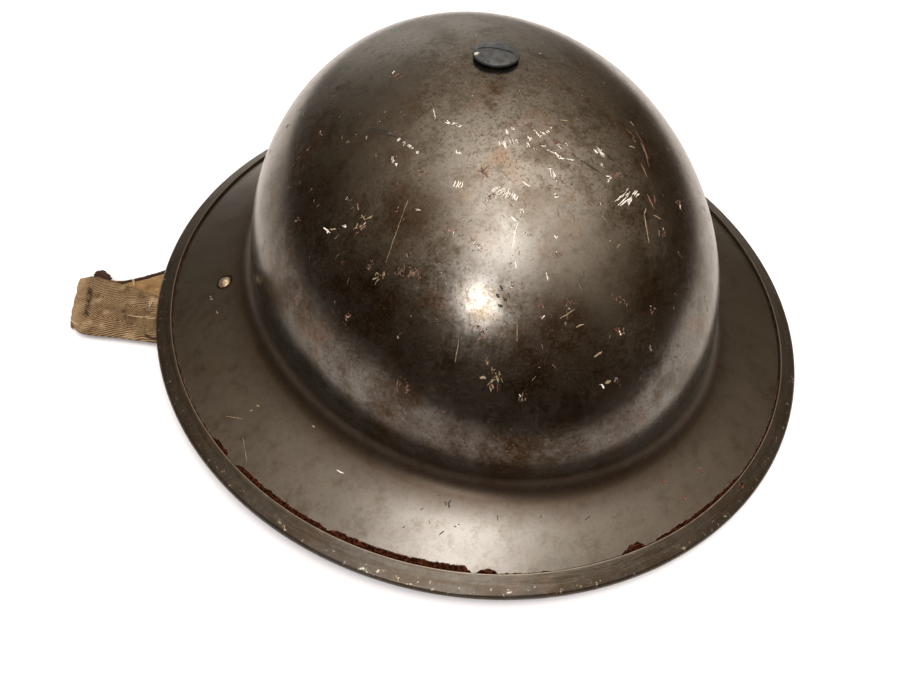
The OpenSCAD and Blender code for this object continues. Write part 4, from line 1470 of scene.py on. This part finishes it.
        # The lining's grooves are painted in shade colour too
        tones = {"yarn": "#a98a62", "groove_shade_and_fuzz": "#7d6040", "grime": "#664a2b", "worn": "#c2a279"}
        lining = Webbing("tan_lining_cloth", rib_mm=0.7, **tones).build()
        dark = Cloth("dark_frayed_cotton", "#4a2f19", "#1d1108", 0.5, 0.95, 0.3).build()
        pale = Cloth("cream_cotton_thread", "#d8c7a0", "#a8946a", 0.4, 0.9, 0.05, 0.3).build()
        thread = Cloth("brown_sewing_thread", "#8a6d45", "#5c4427", 0.4, 0.9, 0.05).build()
        steel = Metal("dulled_steel_wire", "#5c564b", "#2d261d", 0.42).build()
        black = Metal("blackened_buckle_steel", "#3a3833", "#1c1814", 0.45).build()
        brass = Metal("aged_brass", "#7d683d", "#453721", 0.4).build()
        self.left_half(webbing)
        self.left_return(lining)
        self.right_half(webbing)
        self.frays(dark)
        self.loose_threads(pale)
        self.stitches(thread)
        dress(steel, "plain_steel", "bail_left", "bail_right")
        dress(black, "blackened_steel", "buckle_frame")
        dress(brass, "brass", "strap_tip", "strap_keeper")
        for name in ("buckle_frame", "strap_tip", "strap_keeper"):
            soften(name, 0.25)


def soften(name: str, size_mm: float) -> None:
    """Rounds a CAD node's sharp edges with a modifier, which leaves its mesh alone."""
    bevel(placed(name), size_mm, 50)


def bevel(piece: Object, size_mm: float, angle_deg: float) -> None:
    """Adds a modifier that rounds the edges sharper than an angle."""
    edge = piece.modifiers.new("soft_edges", "BEVEL")
    edge.width = size_mm * MM
    edge.segments = 2
    edge.limit_method = "ANGLE"
    edge.angle_limit = radians(angle_deg)


@dataclass
class CrownFittings:
    """The domed, blackened screw with its blind slot, and what it clamps inside the crown."""

    head_d: float = 17.0
    head_h: float = 2.6
    head_edge: float = 0.9
    head_z: float = 117.55
    shank_r: float = 3.0
    shank_end: float = 99.0
    plain_shank: float = 14.0
    slot_w: float = 0.8
    slot_l: float = 13.0
    slot_depth: float = 1.3
    slot_deg: float = -29.0

    def profile(self) -> list[tuple[float, float]]:
        """Returns the screw's outline from the dome's top to the shank's end."""
        half, rise = self.head_d / 2, self.head_h - self.head_edge
        dome = (half**2 + rise**2) / (2 * rise)
        top = self.head_z + self.head_h
        out = [(0.02, top)]
        for k in range(1, 22):
            r = (half - 0.2) * k / 21
            out.append((r, top - dome + sqrt(dome**2 - r**2)))
        edge = self.head_z + self.head_edge
        out += [(half - 0.08, edge - 0.02), (half, edge - 0.2)]
        out += [(half, self.head_z + 0.2), (half - 0.15, self.head_z), (self.shank_r, self.head_z)]
        z = self.head_z - self.plain_shank
        out.append((self.shank_r, z))
        while z > self.shank_end + 0.6:
            out += [(self.shank_r, z - 0.1), (self.shank_r - 0.4, z - 0.5), (self.shank_r, z - 0.9)]
            z -= 1.0
        out += [(self.shank_r - 0.5, self.shank_end), (0.02, self.shank_end)]
        return out

    def build(self) -> None:
        """Builds the screw and dresses the pieces under it."""
        screw = lathe("crown_screw_head", self.profile(), 96, closed=False)
        cutter = self.cutter()
        cut = screw.modifiers.new("slot", "BOOLEAN")
        cut.object = cutter
        cut.solver = "EXACT"
        bevel(screw, 0.1, 40)
        settle(screw)
        bpy.data.objects.remove(cutter)
        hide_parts("crown_screw")
        finished(screw, BlackedScrew().build(), Body.HELMET)
        steel = Metal("worn_liner_steel", "#6e675b", "#3f362b", 0.45).build()
        rubber = Cloth("perished_rubber", "#2c2a27", "#191715", 1.2, 0.75, 0.08).build()
        dress(steel, "plain_steel", "crown_nut", "crown_plate")
        dress(Metal("blackened_washer", "#26241f", "#14120f", 0.5).build(), "blackened_steel", "crown_washer")
        dress(rubber, "black_rubber", "crown_rubber_pad", "band_buffers")
        for name in ("crown_rubber_pad", "band_buffers", "crown_plate", "crown_nut"):
            soften(name, 0.3)

    def cutter(self) -> Object:
        """Makes the block that cuts the blind slot."""
        turn = radians(self.slot_deg)
        way = np.array([cos(turn), sin(turn), 0]) * self.slot_l / 2
        side = np.array([-sin(turn), cos(turn), 0]) * self.slot_w / 2
        base = np.array([0, FORM.shift, self.head_z + self.head_h - self.slot_depth])
        rings = []
        for rise in (0.0, 3.0):
            up = base + np.array([0, 0, rise])
            rings.append([up - way - side, up + way - side, up + way + side, up - way + side])
        return skin("slot_cutter", rings)


@dataclass(frozen=True)
class BlackedScrew(Metal):
    """The screw head's cold blue-grey black, with one pale chip near its left edge."""

    name: str = "blackened_screw_steel"
    colour: str = "#34383a"
    tarnish: str = "#1c1e1f"
    rough: float = 0.42
    metallic: float = 0.0
    chip_place: Point = (-7.4, 1.4, 118.9)
    chip_tone: str = "#b4b2aa"

    def layers(self, tree: NodeTree) -> Finish:
        """Makes the screw's colour, roughness and height."""
        colour, rough, height = Metal.layers(self, tree)
        place = millimetres(tree)
        far = add(tree, "VectorMath", {0: place, 1: self.chip_place}, operation="DISTANCE").outputs["Value"]
        ragged = add(tree, "TexNoise", {"Vector": place, "Scale": 1.4, "Detail": 3.0}).outputs[0]
        reach = add(tree, "Math", {0: far, 1: ragged}, operation="ADD").outputs[0]
        return blended(tree, ramp(tree, reach, 1.5, 1.2), colour, self.chip_tone), rough, height


def settle(piece: Object) -> None:
    """Applies a new piece's modifiers to its mesh."""
    bpy.context.view_layer.update()
    shape = piece.evaluated_get(bpy.context.evaluated_depsgraph_get())
    mesh = bpy.data.meshes.new_from_object(shape)
    piece.modifiers.clear()
    piece.data = mesh


@dataclass
class Liner:
    """Fibre head band, leathercloth sweat band with laced tongues, crossed straps and the felt crown pad."""

    band_x: float = 83.9
    band_y: float = 104.85
    band_z: float = 8.0
    band_top: float = 38.0
    band_t: float = 1.5
    sweat_inset: float = 1.8
    sweat_t: float = 1.6
    tongues: int = 8
    tongue_share: float = 0.84
    tongue_h: float = 26.0
    tongue_lean: float = 17.0
    # How much a tongue's top is rounded, its corners are cut, and its middle stands in
    tongue_round: float = 0.16
    tongue_corner: float = 0.3
    tongue_bulge: float = 1.2
    lace_inset: float = 19.1
    lace_z: float = 59.0
    cross_w: float = 28.0
    cross_t: float = 1.6
    cross_top: float = 109.15
    cross_foot: float = 12.0
    felt_d: float = 86.0
    felt_drop: float = 7.0
    felt_t: float = 5.0
    felt_top: float = 105.5
    felt_round: float = 1.4
    well_d: float = 28.0
    around: int = 180
    # Share of the sweat band's flat rectangle that isn't cut away between the tongues
    kept_share: float = 0.82
    lace_r: float = 0.82
    lace_steps: int = 240
    # How far the lace dips between the tongues
    lace_sway: float = 0.35
    stitch_count: int = 130
    gap: float = 0.05

    def oval(self, a: float, inset: float, z: float) -> np.ndarray:
        """Returns a point of the head band's oval, at an inset and a height."""
        x, y = (self.band_x - inset) * cos(a), (self.band_y - inset) * sin(a)
        return np.array([x, FORM.shift + y, z])

    def wall(self, name: str, inset: float, t: float, low: float, high: float) -> Object:
        """Makes an upright oval band with rounded edges.

        Args:
            name: The object's name.
            inset: The outer face's distance inside the head band's outer face.
            t: The band's thickness.
            low: The height of the lower edge.
            high: The height of the upper edge.
        Returns:
            The band.
        """
        rings, half = [], t / 2
        for i in range(self.around):
            a = tau * i / self.around
            ring = []
            for side, middle in ((1, high - half), (-1, low + half)):
                for k in range(9):
                    turn = pi * k / 8
                    across = inset + half - side * half * cos(turn)
                    ring.append(self.oval(a, across, middle + side * half * sin(turn)))
            rings.append(ring)
        return skin(name, rings, loop=True)

    def tongue(self, number: int) -> Object:
        """Makes one leaning tongue of the sweat band, with its rounded top."""
        pitch = tau / self.tongues
        start = (number + 0.5 - self.tongue_share / 2) * pitch
        columns, rows = 24, 12
        rings = []
        for i in range(columns + 1):
            a = start + pitch * self.tongue_share * i / columns
            edge = abs(2 * i / columns - 1)
            height = self.tongue_h * (1 - self.tongue_round * edge**2) * (1 - self.tongue_corner * edge**12)
            low = self.band_top - 3
            outer, inner = [], []
            for k in range(rows + 1):
                t = k / rows
                bulge = self.tongue_bulge * sin(pi * t) * (1 - edge**2)
                inset = self.sweat_inset + self.tongue_lean * height / self.tongue_h * t**1.15 + bulge
                z = low + (height + 3) * t
                thin = self.sweat_t * (1 - 0.6 * t**8)
                outer.append(self.oval(a, inset, z))
                inner.append(self.oval(a, inset + thin, z - 0.3 * t))
            rings.append(outer + inner[::-1])
        return skin(f"tongue_{number}", rings)

    def sweat_band(self) -> Object:
        """Makes the sweat band with its tongues, as one sheet of leathercloth."""
        band = self.wall("sweat_wall", self.sweat_inset, self.sweat_t, self.band_z - 1, self.band_top - 2)
        made = joined("leathercloth_sweat_band", [band] + [self.tongue(i) for i in range(self.tongues)])
        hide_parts("sweatband")
        leathercloth = Cloth("brown_leathercloth", "#5a4029", "#33231a", 1.1, 0.5, 0.12).build()
        return finished(made, leathercloth, Body.HELMET)

    def lace(self) -> None:
        """Threads the lace through the tongues' tips."""
        rings = []
        twist = [tau * k / 10 for k in range(10)]
        for i in range(self.lace_steps):
            a = tau * i / self.lace_steps
            sway = self.lace_sway * cos(a * self.tongues)
            point = self.oval(a, self.lace_inset + sway, self.lace_z + sway)
            out, up = np.array([cos(a), sin(a), 0]), np.array([0, 0, 1])
            bead = self.lace_r + 0.1 * sin(i * 2.1)
            rings.append([point + (out * cos(t) + up * sin(t)) * bead for t in twist])
        made = skin("sweat_band_lace", rings, loop=True)
        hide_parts("tongue_lace")
        cotton = Cloth("cotton_lace", "#9b8c6b", "#5f5237", 0.5, 0.9, 0.12, 0.3).build()
        finished(made, cotton, Body.HELMET)

    def cross(self, name: str, node: str, half: float, top: float, turned: bool, material: Material) -> None:
        """Makes one of the two crossed straps, from foot to foot over the crown.

        Args:
            name: The piece's name.
            node: The CAD node that it replaces.
            half: Half the strap's span, to its outer face.
            top: The height of its upper face at the crown.
            turned: Whether it runs front to back.
            material: The strap's material.
        """
        half, top = half - self.cross_t / 2, top - self.cross_t / 2
        foot, flat = self.band_top - self.cross_foot, self.cross_w / 2 + 2
        arm = [(half, foot), (half, (foot + self.band_top) / 2)]
        for k in range(14, -1, -1):
            t = pi / 2 * k / 14
            rise = (top - self.band_top) * cos(t) ** 1.1
            arm.append((flat + (half - flat) * sin(t), self.band_top + rise))
        route = arm + [(-r, z) for r, z in arm[::-1]]
        w = self.cross_w / 2
        stations = []
        for r, z in route:
            if turned:
                stations.append(((w, r + FORM.shift, z), (-w, r + FORM.shift, z)))
            else:
                stations.append(((r, FORM.shift - w, z), (r, FORM.shift + w, z)))
        made = Ribbon(name, stations, self.cross_t, 3, 14).build()
        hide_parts(node)
        finished(made, material, Body.HELMET)

    def felt(self) -> None:
        """Makes the dished felt pad under the crossing."""
        half = self.felt_d / 2
        dome = (half**2 + self.felt_drop**2) / (2 * self.felt_drop)
        inner = self.well_d / 2

        def top(r: float) -> float:
            """Returns the height of the pad's upper face."""
            return self.felt_top - dome + sqrt(dome**2 - r**2)

        soft, part = self.felt_round, self.felt_round * 0.3
        out = [inner + (half - inner) * k / 16 for k in range(1, 16)]
        high_in, high_out = top(inner), top(half)
        low_in, low_out = high_in - self.felt_t, high_out - self.felt_t
        profile = [(inner, high_in - soft), (inner + part, high_in - part), (inner + soft, top(inner + soft))]
        profile += [(r, top(r)) for r in out[1:-1]]
        profile += [(half - soft, top(half - soft)), (half - part, high_out - part), (half, high_out - soft)]
        profile += [(half, low_out + soft), (half - part, low_out + part)]
        profile += [(r, top(r) - self.felt_t) for r in out[::-1]]
        profile += [(inner + part, low_in + part), (inner, low_in + soft)]
        made = lathe("felt_crown_pad", profile, 120)
        for vertex in made.data.vertices:
            vertex.co.z += noise.noise(vertex.co / (7 * MM)) * 0.25 * MM
        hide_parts("crown_felt_pad")
        felt = Cloth("grey_wool_felt", "#8a8270", "#5f5848", 0.7, 0.98, 0.35, 0.5).build()
        finished(made, felt, Body.HELMET)

    def stitches(self) -> None:
        """Sews the sweat band's lower edge."""
        pieces = []
        for i in range(self.stitch_count):
            route = []
            for share, lift in ((0.15, -0.15), (0.45, 0.12), (0.75, -0.15)):
                a = tau * (i + share) / self.stitch_count
                route.append(self.oval(a, self.sweat_inset + self.sweat_t + lift, self.band_z + 3.0))
            pieces.append(tube("stitch", route, 0.25, 5))
        made = joined("sweat_band_stitches", pieces)
        thread = Cloth("waxed_linen_thread", "#b39a6b", "#7d6741", 0.4, 0.9, 0.05).build()
        finished(made, thread, Body.HELMET)

    def build(self) -> None:
        """Builds the liner's pieces."""
        fibre = Cloth("vulcanised_fibre", "#4c382a", "#2e2219", 2.2, 0.55, 0.06)
        band = self.wall("fibre_head_band", 0.0, self.band_t, self.band_z, self.band_top)
        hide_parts("headband")
        finished(band, fibre.build(), Body.HELMET)
        self.sweat_band()
        self.lace()
        strap = Cloth("black_oilcloth_strap", "#3a3127", "#211b15", 0.8, 0.6, 0.1).build()
        beyond = self.gap + self.cross_t
        long, short = self.band_y + beyond, self.band_x + beyond
        self.cross("long_cross_strap", "liner_cross_long", long, self.cross_top, True, strap)
        self.cross("short_cross_strap", "liner_cross_short", short, self.cross_top - beyond, False, strap)
        self.felt()
        self.stitches()
        dress(Metal("dulled_liner_rivets", "#7c6a45", "#493c28", 0.4).build(), "plain_steel", "liner_rivets")
        soften("liner_rivets", 0.2)


class Mark(Enum):
    """The kinds of damage on the paint: what each is called, its colour and its shade."""

    WHITE = ("white_primer_scuff", "#f8f5ef", "#d6d0c4")
    PINK = ("pink_primer_chip", "#8f6a58", "#5c4034")
    YELLOW = ("yellowed_primer_scuff", "#9c8b70", "#6e5d43")
    BLACK = ("black_scratch", "#0d0b08", "#191510")
    RED = ("red_rust_chip", "#6d3727", "#42201a")


@dataclass(frozen=True)
class Stroke:
    """One mark on the paint: its two ends as pixels of the photograph, and its width."""

    kind: Mark
    start_x: float
    start_y: float
    end_x: float
    end_y: float
    width_mm: float


WHITE, PINK, YELLOW, BLACK, RED = Mark
# Kind, start x and y, end x and y in pixels, and width in millimetres, as read off the photograph
BOWL_STROKES = (
    (WHITE, 433, 110, 435, 118, 0.5), (WHITE, 446, 121, 450, 123, 0.7), (WHITE, 450, 124, 457, 123, 0.6),
    (WHITE, 457, 125, 462, 127, 0.7), (BLACK, 370, 130, 397, 137, 1.0), (BLACK, 370, 128, 390, 132, 0.5),
    (WHITE, 397, 141, 400, 138, 0.7), (WHITE, 403, 144, 406, 142, 0.8), (WHITE, 408, 147, 411, 145, 0.7),
    (WHITE, 412, 149, 413, 147, 0.7), (WHITE, 416, 153, 419, 151, 0.9), (WHITE, 392, 157, 393, 163, 0.7),
    (WHITE, 394, 160, 397, 165, 0.5), (PINK, 420, 172, 430, 175, 1.4), (WHITE, 456, 150, 458, 154, 0.6),
    (WHITE, 459, 151, 461, 154, 0.6), (WHITE, 453, 187, 456, 181, 0.35), (WHITE, 456, 188, 459, 181, 0.35),
    (WHITE, 458, 188, 461, 182, 0.35), (WHITE, 461, 188, 463, 182, 0.35), (PINK, 394, 72, 399, 78, 1.6),
    (PINK, 480, 168, 486, 174, 1.9), (PINK, 485, 201, 493, 196, 1.2), (PINK, 445, 228, 455, 233, 1.1),
    (PINK, 472, 245, 483, 249, 1.1), (YELLOW, 346, 197, 352, 206, 0.7), (YELLOW, 357, 204, 359, 210, 0.5),
    (YELLOW, 367, 219, 373, 216, 0.6), (YELLOW, 361, 215, 366, 220, 0.35),
    (YELLOW, 358, 223, 356, 229, 0.5), (WHITE, 343, 225, 346, 229, 0.5), (WHITE, 324, 228, 329, 233, 0.6),
    (YELLOW, 330, 229, 336, 229, 0.6), (PINK, 360, 226, 366, 228, 1.6), (YELLOW, 408, 200, 404, 212, 0.3),
    (YELLOW, 404, 212, 386, 263, 0.22), (WHITE, 417, 208, 420, 211, 0.7), (YELLOW, 376, 279, 388, 274, 1.2),
    (PINK, 397, 271, 403, 274, 1.0), (PINK, 407, 276, 417, 272, 1.3), (PINK, 368, 269, 371, 265, 0.8),
    (WHITE, 506, 130, 508, 134, 0.5), (WHITE, 512, 127, 515, 132, 0.6), (WHITE, 504, 139, 506, 143, 0.6),
    (WHITE, 502, 142, 506, 148, 0.8), (WHITE, 510, 138, 513, 144, 0.7), (WHITE, 515, 140, 519, 142, 0.5),
    (WHITE, 499, 141, 500, 145, 0.4), (RED, 529, 125, 531, 129, 1.2), (YELLOW, 531, 127, 542, 139, 1.1),
    (WHITE, 534, 130, 541, 138, 0.4), (WHITE, 528, 136, 531, 140, 0.8), (WHITE, 527, 143, 529, 147, 0.7),
    (WHITE, 533, 148, 536, 150, 0.5), (WHITE, 541, 131, 545, 136, 0.8), (BLACK, 545, 131, 546, 134, 0.8),
    (WHITE, 546, 131, 549, 133, 0.6), (WHITE, 550, 127, 552, 128, 0.6), (WHITE, 541, 145, 546, 147, 0.6),
    (WHITE, 546, 148, 554, 153, 0.8), (WHITE, 554, 152, 560, 158, 1.0), (WHITE, 560, 158, 565, 159, 0.6),
    (WHITE, 567, 160, 576, 161, 0.7), (RED, 555, 141, 560, 143, 1.5), (WHITE, 556, 144, 564, 149, 0.8),
    (WHITE, 565, 143, 568, 146, 0.5), (BLACK, 570, 153, 580, 160, 0.45), (BLACK, 580, 160, 600, 173, 0.8),
    (WHITE, 549, 168, 550, 170, 0.6), (WHITE, 551, 169, 554, 178, 0.8), (RED, 555, 181, 565, 180, 1.4),
    (RED, 555, 189, 560, 189, 0.5), (WHITE, 554, 198, 557, 195, 0.8), (PINK, 507, 177, 516, 185, 0.35),
    (WHITE, 522, 181, 530, 187, 0.4), (WHITE, 492, 191, 499, 187, 0.7), (WHITE, 496, 193, 501, 189, 1.1),
    (WHITE, 499, 195, 505, 190, 1.3), (WHITE, 501, 196, 507, 191, 1.3), (WHITE, 504, 197, 509, 191, 1.2),
    (WHITE, 507, 197, 510, 189, 0.9), (WHITE, 511, 198, 514, 193, 1.0), (WHITE, 514, 199, 516, 195, 0.9),
    (WHITE, 516, 200, 518, 196, 0.9), (PINK, 524, 199, 526, 207, 0.6), (WHITE, 521, 209, 523, 213, 0.9),
    (WHITE, 512, 217, 518, 222, 0.7), (WHITE, 517, 223, 515, 234, 0.8), (WHITE, 515, 235, 514, 247, 0.6),
    (YELLOW, 513, 252, 527, 257, 0.8), (WHITE, 515, 262, 516, 268, 0.4), (WHITE, 555, 235, 558, 238, 0.5),
    (WHITE, 546, 272, 548, 280, 0.5), (BLACK, 500, 285, 503, 290, 0.7), (BLACK, 496, 294, 500, 297, 0.8),
    (BLACK, 503, 297, 507, 301, 0.7), (BLACK, 498, 304, 503, 307, 0.7), (BLACK, 508, 292, 510, 299, 0.5),
    (PINK, 478, 330, 486, 335, 1.4), (PINK, 540, 302, 545, 314, 1.2), (YELLOW, 576, 327, 584, 324, 0.4),
    (YELLOW, 560, 319, 575, 309, 0.25), (YELLOW, 517, 322, 517, 342, 0.25),
    (YELLOW, 459, 340, 455, 362, 0.3), (YELLOW, 486, 361, 489, 363, 0.7), (YELLOW, 490, 370, 498, 376, 0.8),
    (YELLOW, 480, 377, 486, 378, 0.6), (YELLOW, 488, 383, 500, 386, 1.3), (YELLOW, 520, 398, 526, 400, 0.9),
    (WHITE, 594, 149, 598, 155, 0.6), (WHITE, 597, 148, 601, 151, 0.8), (WHITE, 599, 152, 604, 156, 1.0),
    (BLACK, 608, 157, 614, 161, 1.2), (WHITE, 600, 163, 605, 168, 0.6), (WHITE, 608, 179, 610, 181, 1.8),
    (PINK, 610, 177, 618, 175, 1.2), (WHITE, 616, 205, 629, 193, 1.5), (WHITE, 627, 204, 631, 198, 0.9),
    (WHITE, 634, 196, 637, 192, 1.1), (YELLOW, 630, 121, 634, 126, 0.5), (YELLOW, 630, 130, 634, 141, 0.8),
    (YELLOW, 629, 146, 635, 148, 0.5), (PINK, 635, 130, 643, 144, 0.3), (PINK, 643, 144, 649, 167, 0.35),
    (PINK, 641, 143, 648, 159, 0.6), (PINK, 641, 164, 647, 177, 0.6), (PINK, 647, 194, 654, 209, 0.6),
    (PINK, 654, 194, 655, 203, 0.4), (YELLOW, 646, 208, 644, 214, 0.4), (YELLOW, 644, 214, 649, 243, 0.5),
    (YELLOW, 653, 215, 661, 219, 0.4), (YELLOW, 659, 230, 659, 236, 0.4), (PINK, 664, 229, 663, 236, 0.9),
    (PINK, 678, 196, 680, 207, 1.3), (YELLOW, 560, 120, 568, 121, 0.6), (PINK, 650, 313, 655, 309, 0.7),
    (PINK, 615, 299, 627, 301, 0.9), (PINK, 615, 333, 625, 332, 1.3), (YELLOW, 594, 357, 602, 351, 0.4),
    (WHITE, 600, 385, 604, 389, 0.8), (YELLOW, 605, 383, 611, 381, 0.5), (RED, 615, 381, 620, 383, 0.7),
)
BRIM_STROKES = (
    (BLACK, 445, 501, 446, 506, 0.6), (BLACK, 448, 502, 449, 508, 0.7), (BLACK, 451, 500, 449, 504, 0.5),
    (BLACK, 454, 527, 460, 524, 0.5), (WHITE, 456, 524, 459, 527, 0.4), (BLACK, 439, 535, 444, 531, 0.5),
    (BLACK, 438, 496, 441, 494, 0.4), (BLACK, 429, 520, 430, 524, 0.3), (BLACK, 402, 528, 405, 526, 0.4),
    (BLACK, 485, 489, 486, 491, 0.5), (PINK, 503, 498, 507, 500, 1.3), (PINK, 554, 494, 558, 496, 1.5),
    (YELLOW, 539, 517, 541, 518, 0.7), (YELLOW, 243, 438, 245, 449, 0.2), (YELLOW, 245, 449, 247, 462, 0.2),
    (WHITE, 337, 470, 344, 474, 0.35), (YELLOW, 250, 411, 253, 410, 0.5), (YELLOW, 257, 405, 259, 407, 0.5),
    (YELLOW, 225, 416, 243, 419, 0.2), (YELLOW, 312, 426, 315, 427, 0.6), (PINK, 210, 296, 213, 300, 0.8),
    (PINK, 216, 311, 218, 314, 0.6), (PINK, 700, 470, 704, 472, 1.0), (BLACK, 585, 520, 590, 516, 0.4),
    (BLACK, 497, 515, 498, 521, 0.35), (BLACK, 420, 510, 424, 508, 0.3),
)


@dataclass
class Scuffs:
    """Scuffs and scratches that broke the bowl's paint, laid on it where the photograph shows them."""

    studio: Studio
    lift: float = 0.03
    brim_lift: float = 0.05
    # Wider chips are drawn as flakes and wider scuffs as scratches side by side
    chip_from: float = 0.6
    scuff_from: float = 0.45
    chip_flakes: int = 18
    # A chip's flakes in its own colour, black, red and white, as shares
    chip_shares: tuple[float, ...] = (0.5, 0.28, 0.16, 0.06)
    seed: int = 5
    ticks: int = 900
    flakes: int = 170

    def wave(self, p: Point) -> float:
        """Returns how far the pressing's slight waves lift the shell at a point."""
        return pressed_wave(p, PressedShell.wave_size, PressedShell.wave_mm)

    def on_paint(self, x: float, y: float, brim: bool) -> np.ndarray:
        """Returns the point on the painted bowl or brim over a plan point, a hair above the paint."""
        if brim:
            z = FORM.brim_height((x, y))
            return np.array([x, y, z + self.wave((x, y, z)) + self.brim_lift])
        share = hypot(x / FORM.bowl_x, (y - FORM.shift) / FORM.bowl_y)
        psi = asin(min(0.999, share ** (FORM.bowl_p / 2)))
        z = FORM.base_z + (FORM.crown - FORM.base_z) * cos(psi) ** (2 / FORM.bowl_q)
        z += self.wave((x, y, z))
        azimuth = degrees(atan2((y - FORM.shift) / FORM.bowl_y, x / FORM.bowl_x))
        return np.array([x, y, z]) + FORM.bowl_normal(azimuth, z) * self.lift

    def stroke(self, start: Point, end: Point, width: float, brim: bool) -> tuple[list, list]:
        """Makes one ragged sliver on the paint.

        Args:
            start: One end in plan.
            end: The other end in plan.
            width: Its greatest width.
            brim: Whether it lies on the brim, not on the bowl.
        Returns:
            Its points and faces.
        """
        run = np.asarray(end[:2], float) - np.asarray(start[:2], float)
        length = max(0.3, float(np.linalg.norm(run)))
        side = np.array([-run[1], run[0]]) / length
        steps = max(5, int(length / 0.5))
        points, faces = [], []
        for k in range(steps + 1):
            s = k / steps
            centre = lie(start[:2], end[:2], s)
            centre = centre + side * 0.2 * noise.noise(Vector((centre[0], centre[1], 4.0)))
            full = width / 2 * sin(pi * (0.07 + 0.86 * s)) ** 0.6
            for edge, shift in ((-full, 9.0), (full, 19.0)):
                ragged = 0.85 + 0.9 * noise.noise(Vector((centre[0] * 1.9, centre[1] * 1.9, shift)))
                points.append(self.on_paint(*(centre + side * edge * max(0.1, ragged)), brim))
        for k in range(steps):
            faces.append((2 * k, 2 * k + 2, 2 * k + 3, 2 * k + 1))
        return points, faces

    def __post_init__(self) -> None:
        """Starts the random draws and an empty mesh for each kind of mark."""
        self.draw = np.random.default_rng(self.seed)
        self.found: dict[Mark, tuple[list, list]] = {kind: ([], []) for kind in Mark}

    def lay(self, kind: Mark, start: Point, end: Point, width: float, brim: bool = False) -> None:
        """Adds one sliver to its kind's mesh."""
        points, faces = self.stroke(start, end, width, brim)
        known, joined_up = self.found[kind]
        first = len(known)
        known.extend(points)
        joined_up.extend(tuple(v + first for v in face) for face in faces)

    def flake(self, kind: Mark, start: Point, end: Point, width: float, brim: bool = False) -> None:
        """Adds a chip as a cluster of small irregular flakes."""
        draw = self.draw
        for _ in range(self.chip_flakes):
            middle = lie(start[:2], end[:2], draw.uniform(0, 1)) + draw.normal(0, width * 0.5, 2)
            turn, reach = draw.uniform(0, tau), width * draw.uniform(0.15, 0.6)
            way = np.array([cos(turn), sin(turn)]) * reach
            seen = (kind, BLACK, RED, WHITE)[draw.choice(4, p=self.chip_shares)]
            self.lay(seen, middle - way, middle + way, width * draw.uniform(0.1, 0.35), brim)

    def hatch(self, kind: Mark, start: Point, end: Point, width: float, brim: bool = False) -> None:
        """Adds a scuff as thin scratches side by side, with bare paint and dark specks between them."""
        draw = self.draw
        a, b = np.asarray(start[:2], float), np.asarray(end[:2], float)
        side = np.array([-(b - a)[1], (b - a)[0]]) / max(0.3, float(np.linalg.norm(b - a)))
        for _ in range(3 + int(width * 7)):
            off = side * draw.uniform(-0.75, 0.75) * width
            first, last = sorted(draw.uniform(-0.15, 1.15, 2))
            seen = BLACK if draw.uniform() < 0.15 else kind
            end_off = off * draw.uniform(0.6, 1.3)
            self.lay(seen, lie(a, b, first) + off, lie(a, b, last) + end_off, draw.uniform(0.14, 0.32), brim)

    def build(self) -> None:
        """Lays every mark, and small ticks and flakes over the crown."""
        draw = self.draw
        for number, row in enumerate(BOWL_STROKES + BRIM_STROKES):
            mark, brim = Stroke(*row), number >= len(BOWL_STROKES)
            find = self.studio.on_brim if brim else self.studio.on_bowl
            start, end = find((mark.start_x, mark.start_y)), find((mark.end_x, mark.end_y))
            laid = self.lay
            if mark.kind in (PINK, RED, YELLOW) and mark.width_mm > self.chip_from:
                laid = self.flake
            elif mark.kind is WHITE and mark.width_mm > self.scuff_from:
                laid = self.hatch
            laid(mark.kind, start, end, mark.width_mm, brim)
        for _ in range(self.ticks):
            x, y = FORM.bowl(draw.uniform(0, tau), sqrt(draw.uniform(0.02, 0.8)))
            kind = BLACK if draw.uniform() < 0.8 else YELLOW
            turn, half = draw.uniform(0, tau), draw.uniform(0.25, 1.1)
            way = np.array([cos(turn), sin(turn)]) * half
            self.lay(kind, (x, y) - way, (x, y) + way, draw.uniform(0.1, 0.2))
        for _ in range(self.flakes):
            x, y = FORM.bowl(draw.uniform(0, tau), sqrt(draw.uniform(0.02, 0.9)))
            kind = (PINK, PINK, RED, BLACK)[draw.integers(4)]
            end = (x + draw.uniform(-2, 2), y + draw.uniform(-2, 2))
            self.flake(kind, (x, y), end, draw.uniform(0.3, 0.8))
        for kind, (points, faces) in self.found.items():
            name, colour, shade = kind.value
            made = mesh_object(name + "s", points, faces, smooth=False)
            outwards(made)
            material = Cloth(name, colour, shade, 0.5, 0.6, 0.03).build()
            finished(made, material, Body.HELMET)


def placed(name: str) -> Object:
    """Returns the frame's object for a CAD node."""
    return FRAME["nodes"][name]


def dress(material: Material, slot: str, *names: str) -> None:
    """Gives CAD nodes a material."""
    for name in names:
        node = placed(name)
        node.data.materials.clear()
        node.data.materials.append(material)


FRAME: dict = {}


def main() -> None:
    """Builds the studio and the helmet's pieces in order."""
    logging.basicConfig(level=logging.INFO, format="%(message)s")
    FRAME.update(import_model())
    studio = Studio()
    studio.build()
    paint = ServicePaint().build()
    PressedShell().build(paint, studio)
    RimBand().build(RubbedPaint().build())
    rivet = Metal("rubbed_rivet_steel", "#a89b84", "#6a563c", 0.3).build()
    dress(rivet, "painted_steel", "lug_rivet_left", "lug_rivet_right")
    dress(paint, "painted_steel", "strap_lug_left", "strap_lug_right")
    CrownFittings().build()
    Chinstrap().build()
    Liner().build()
    Scuffs(studio).build()
    for piece in bpy.context.scene.objects:
        if piece.type == "MESH":
            LOG.info("made %s", piece.name)


if __name__ == "__main__":
    main()
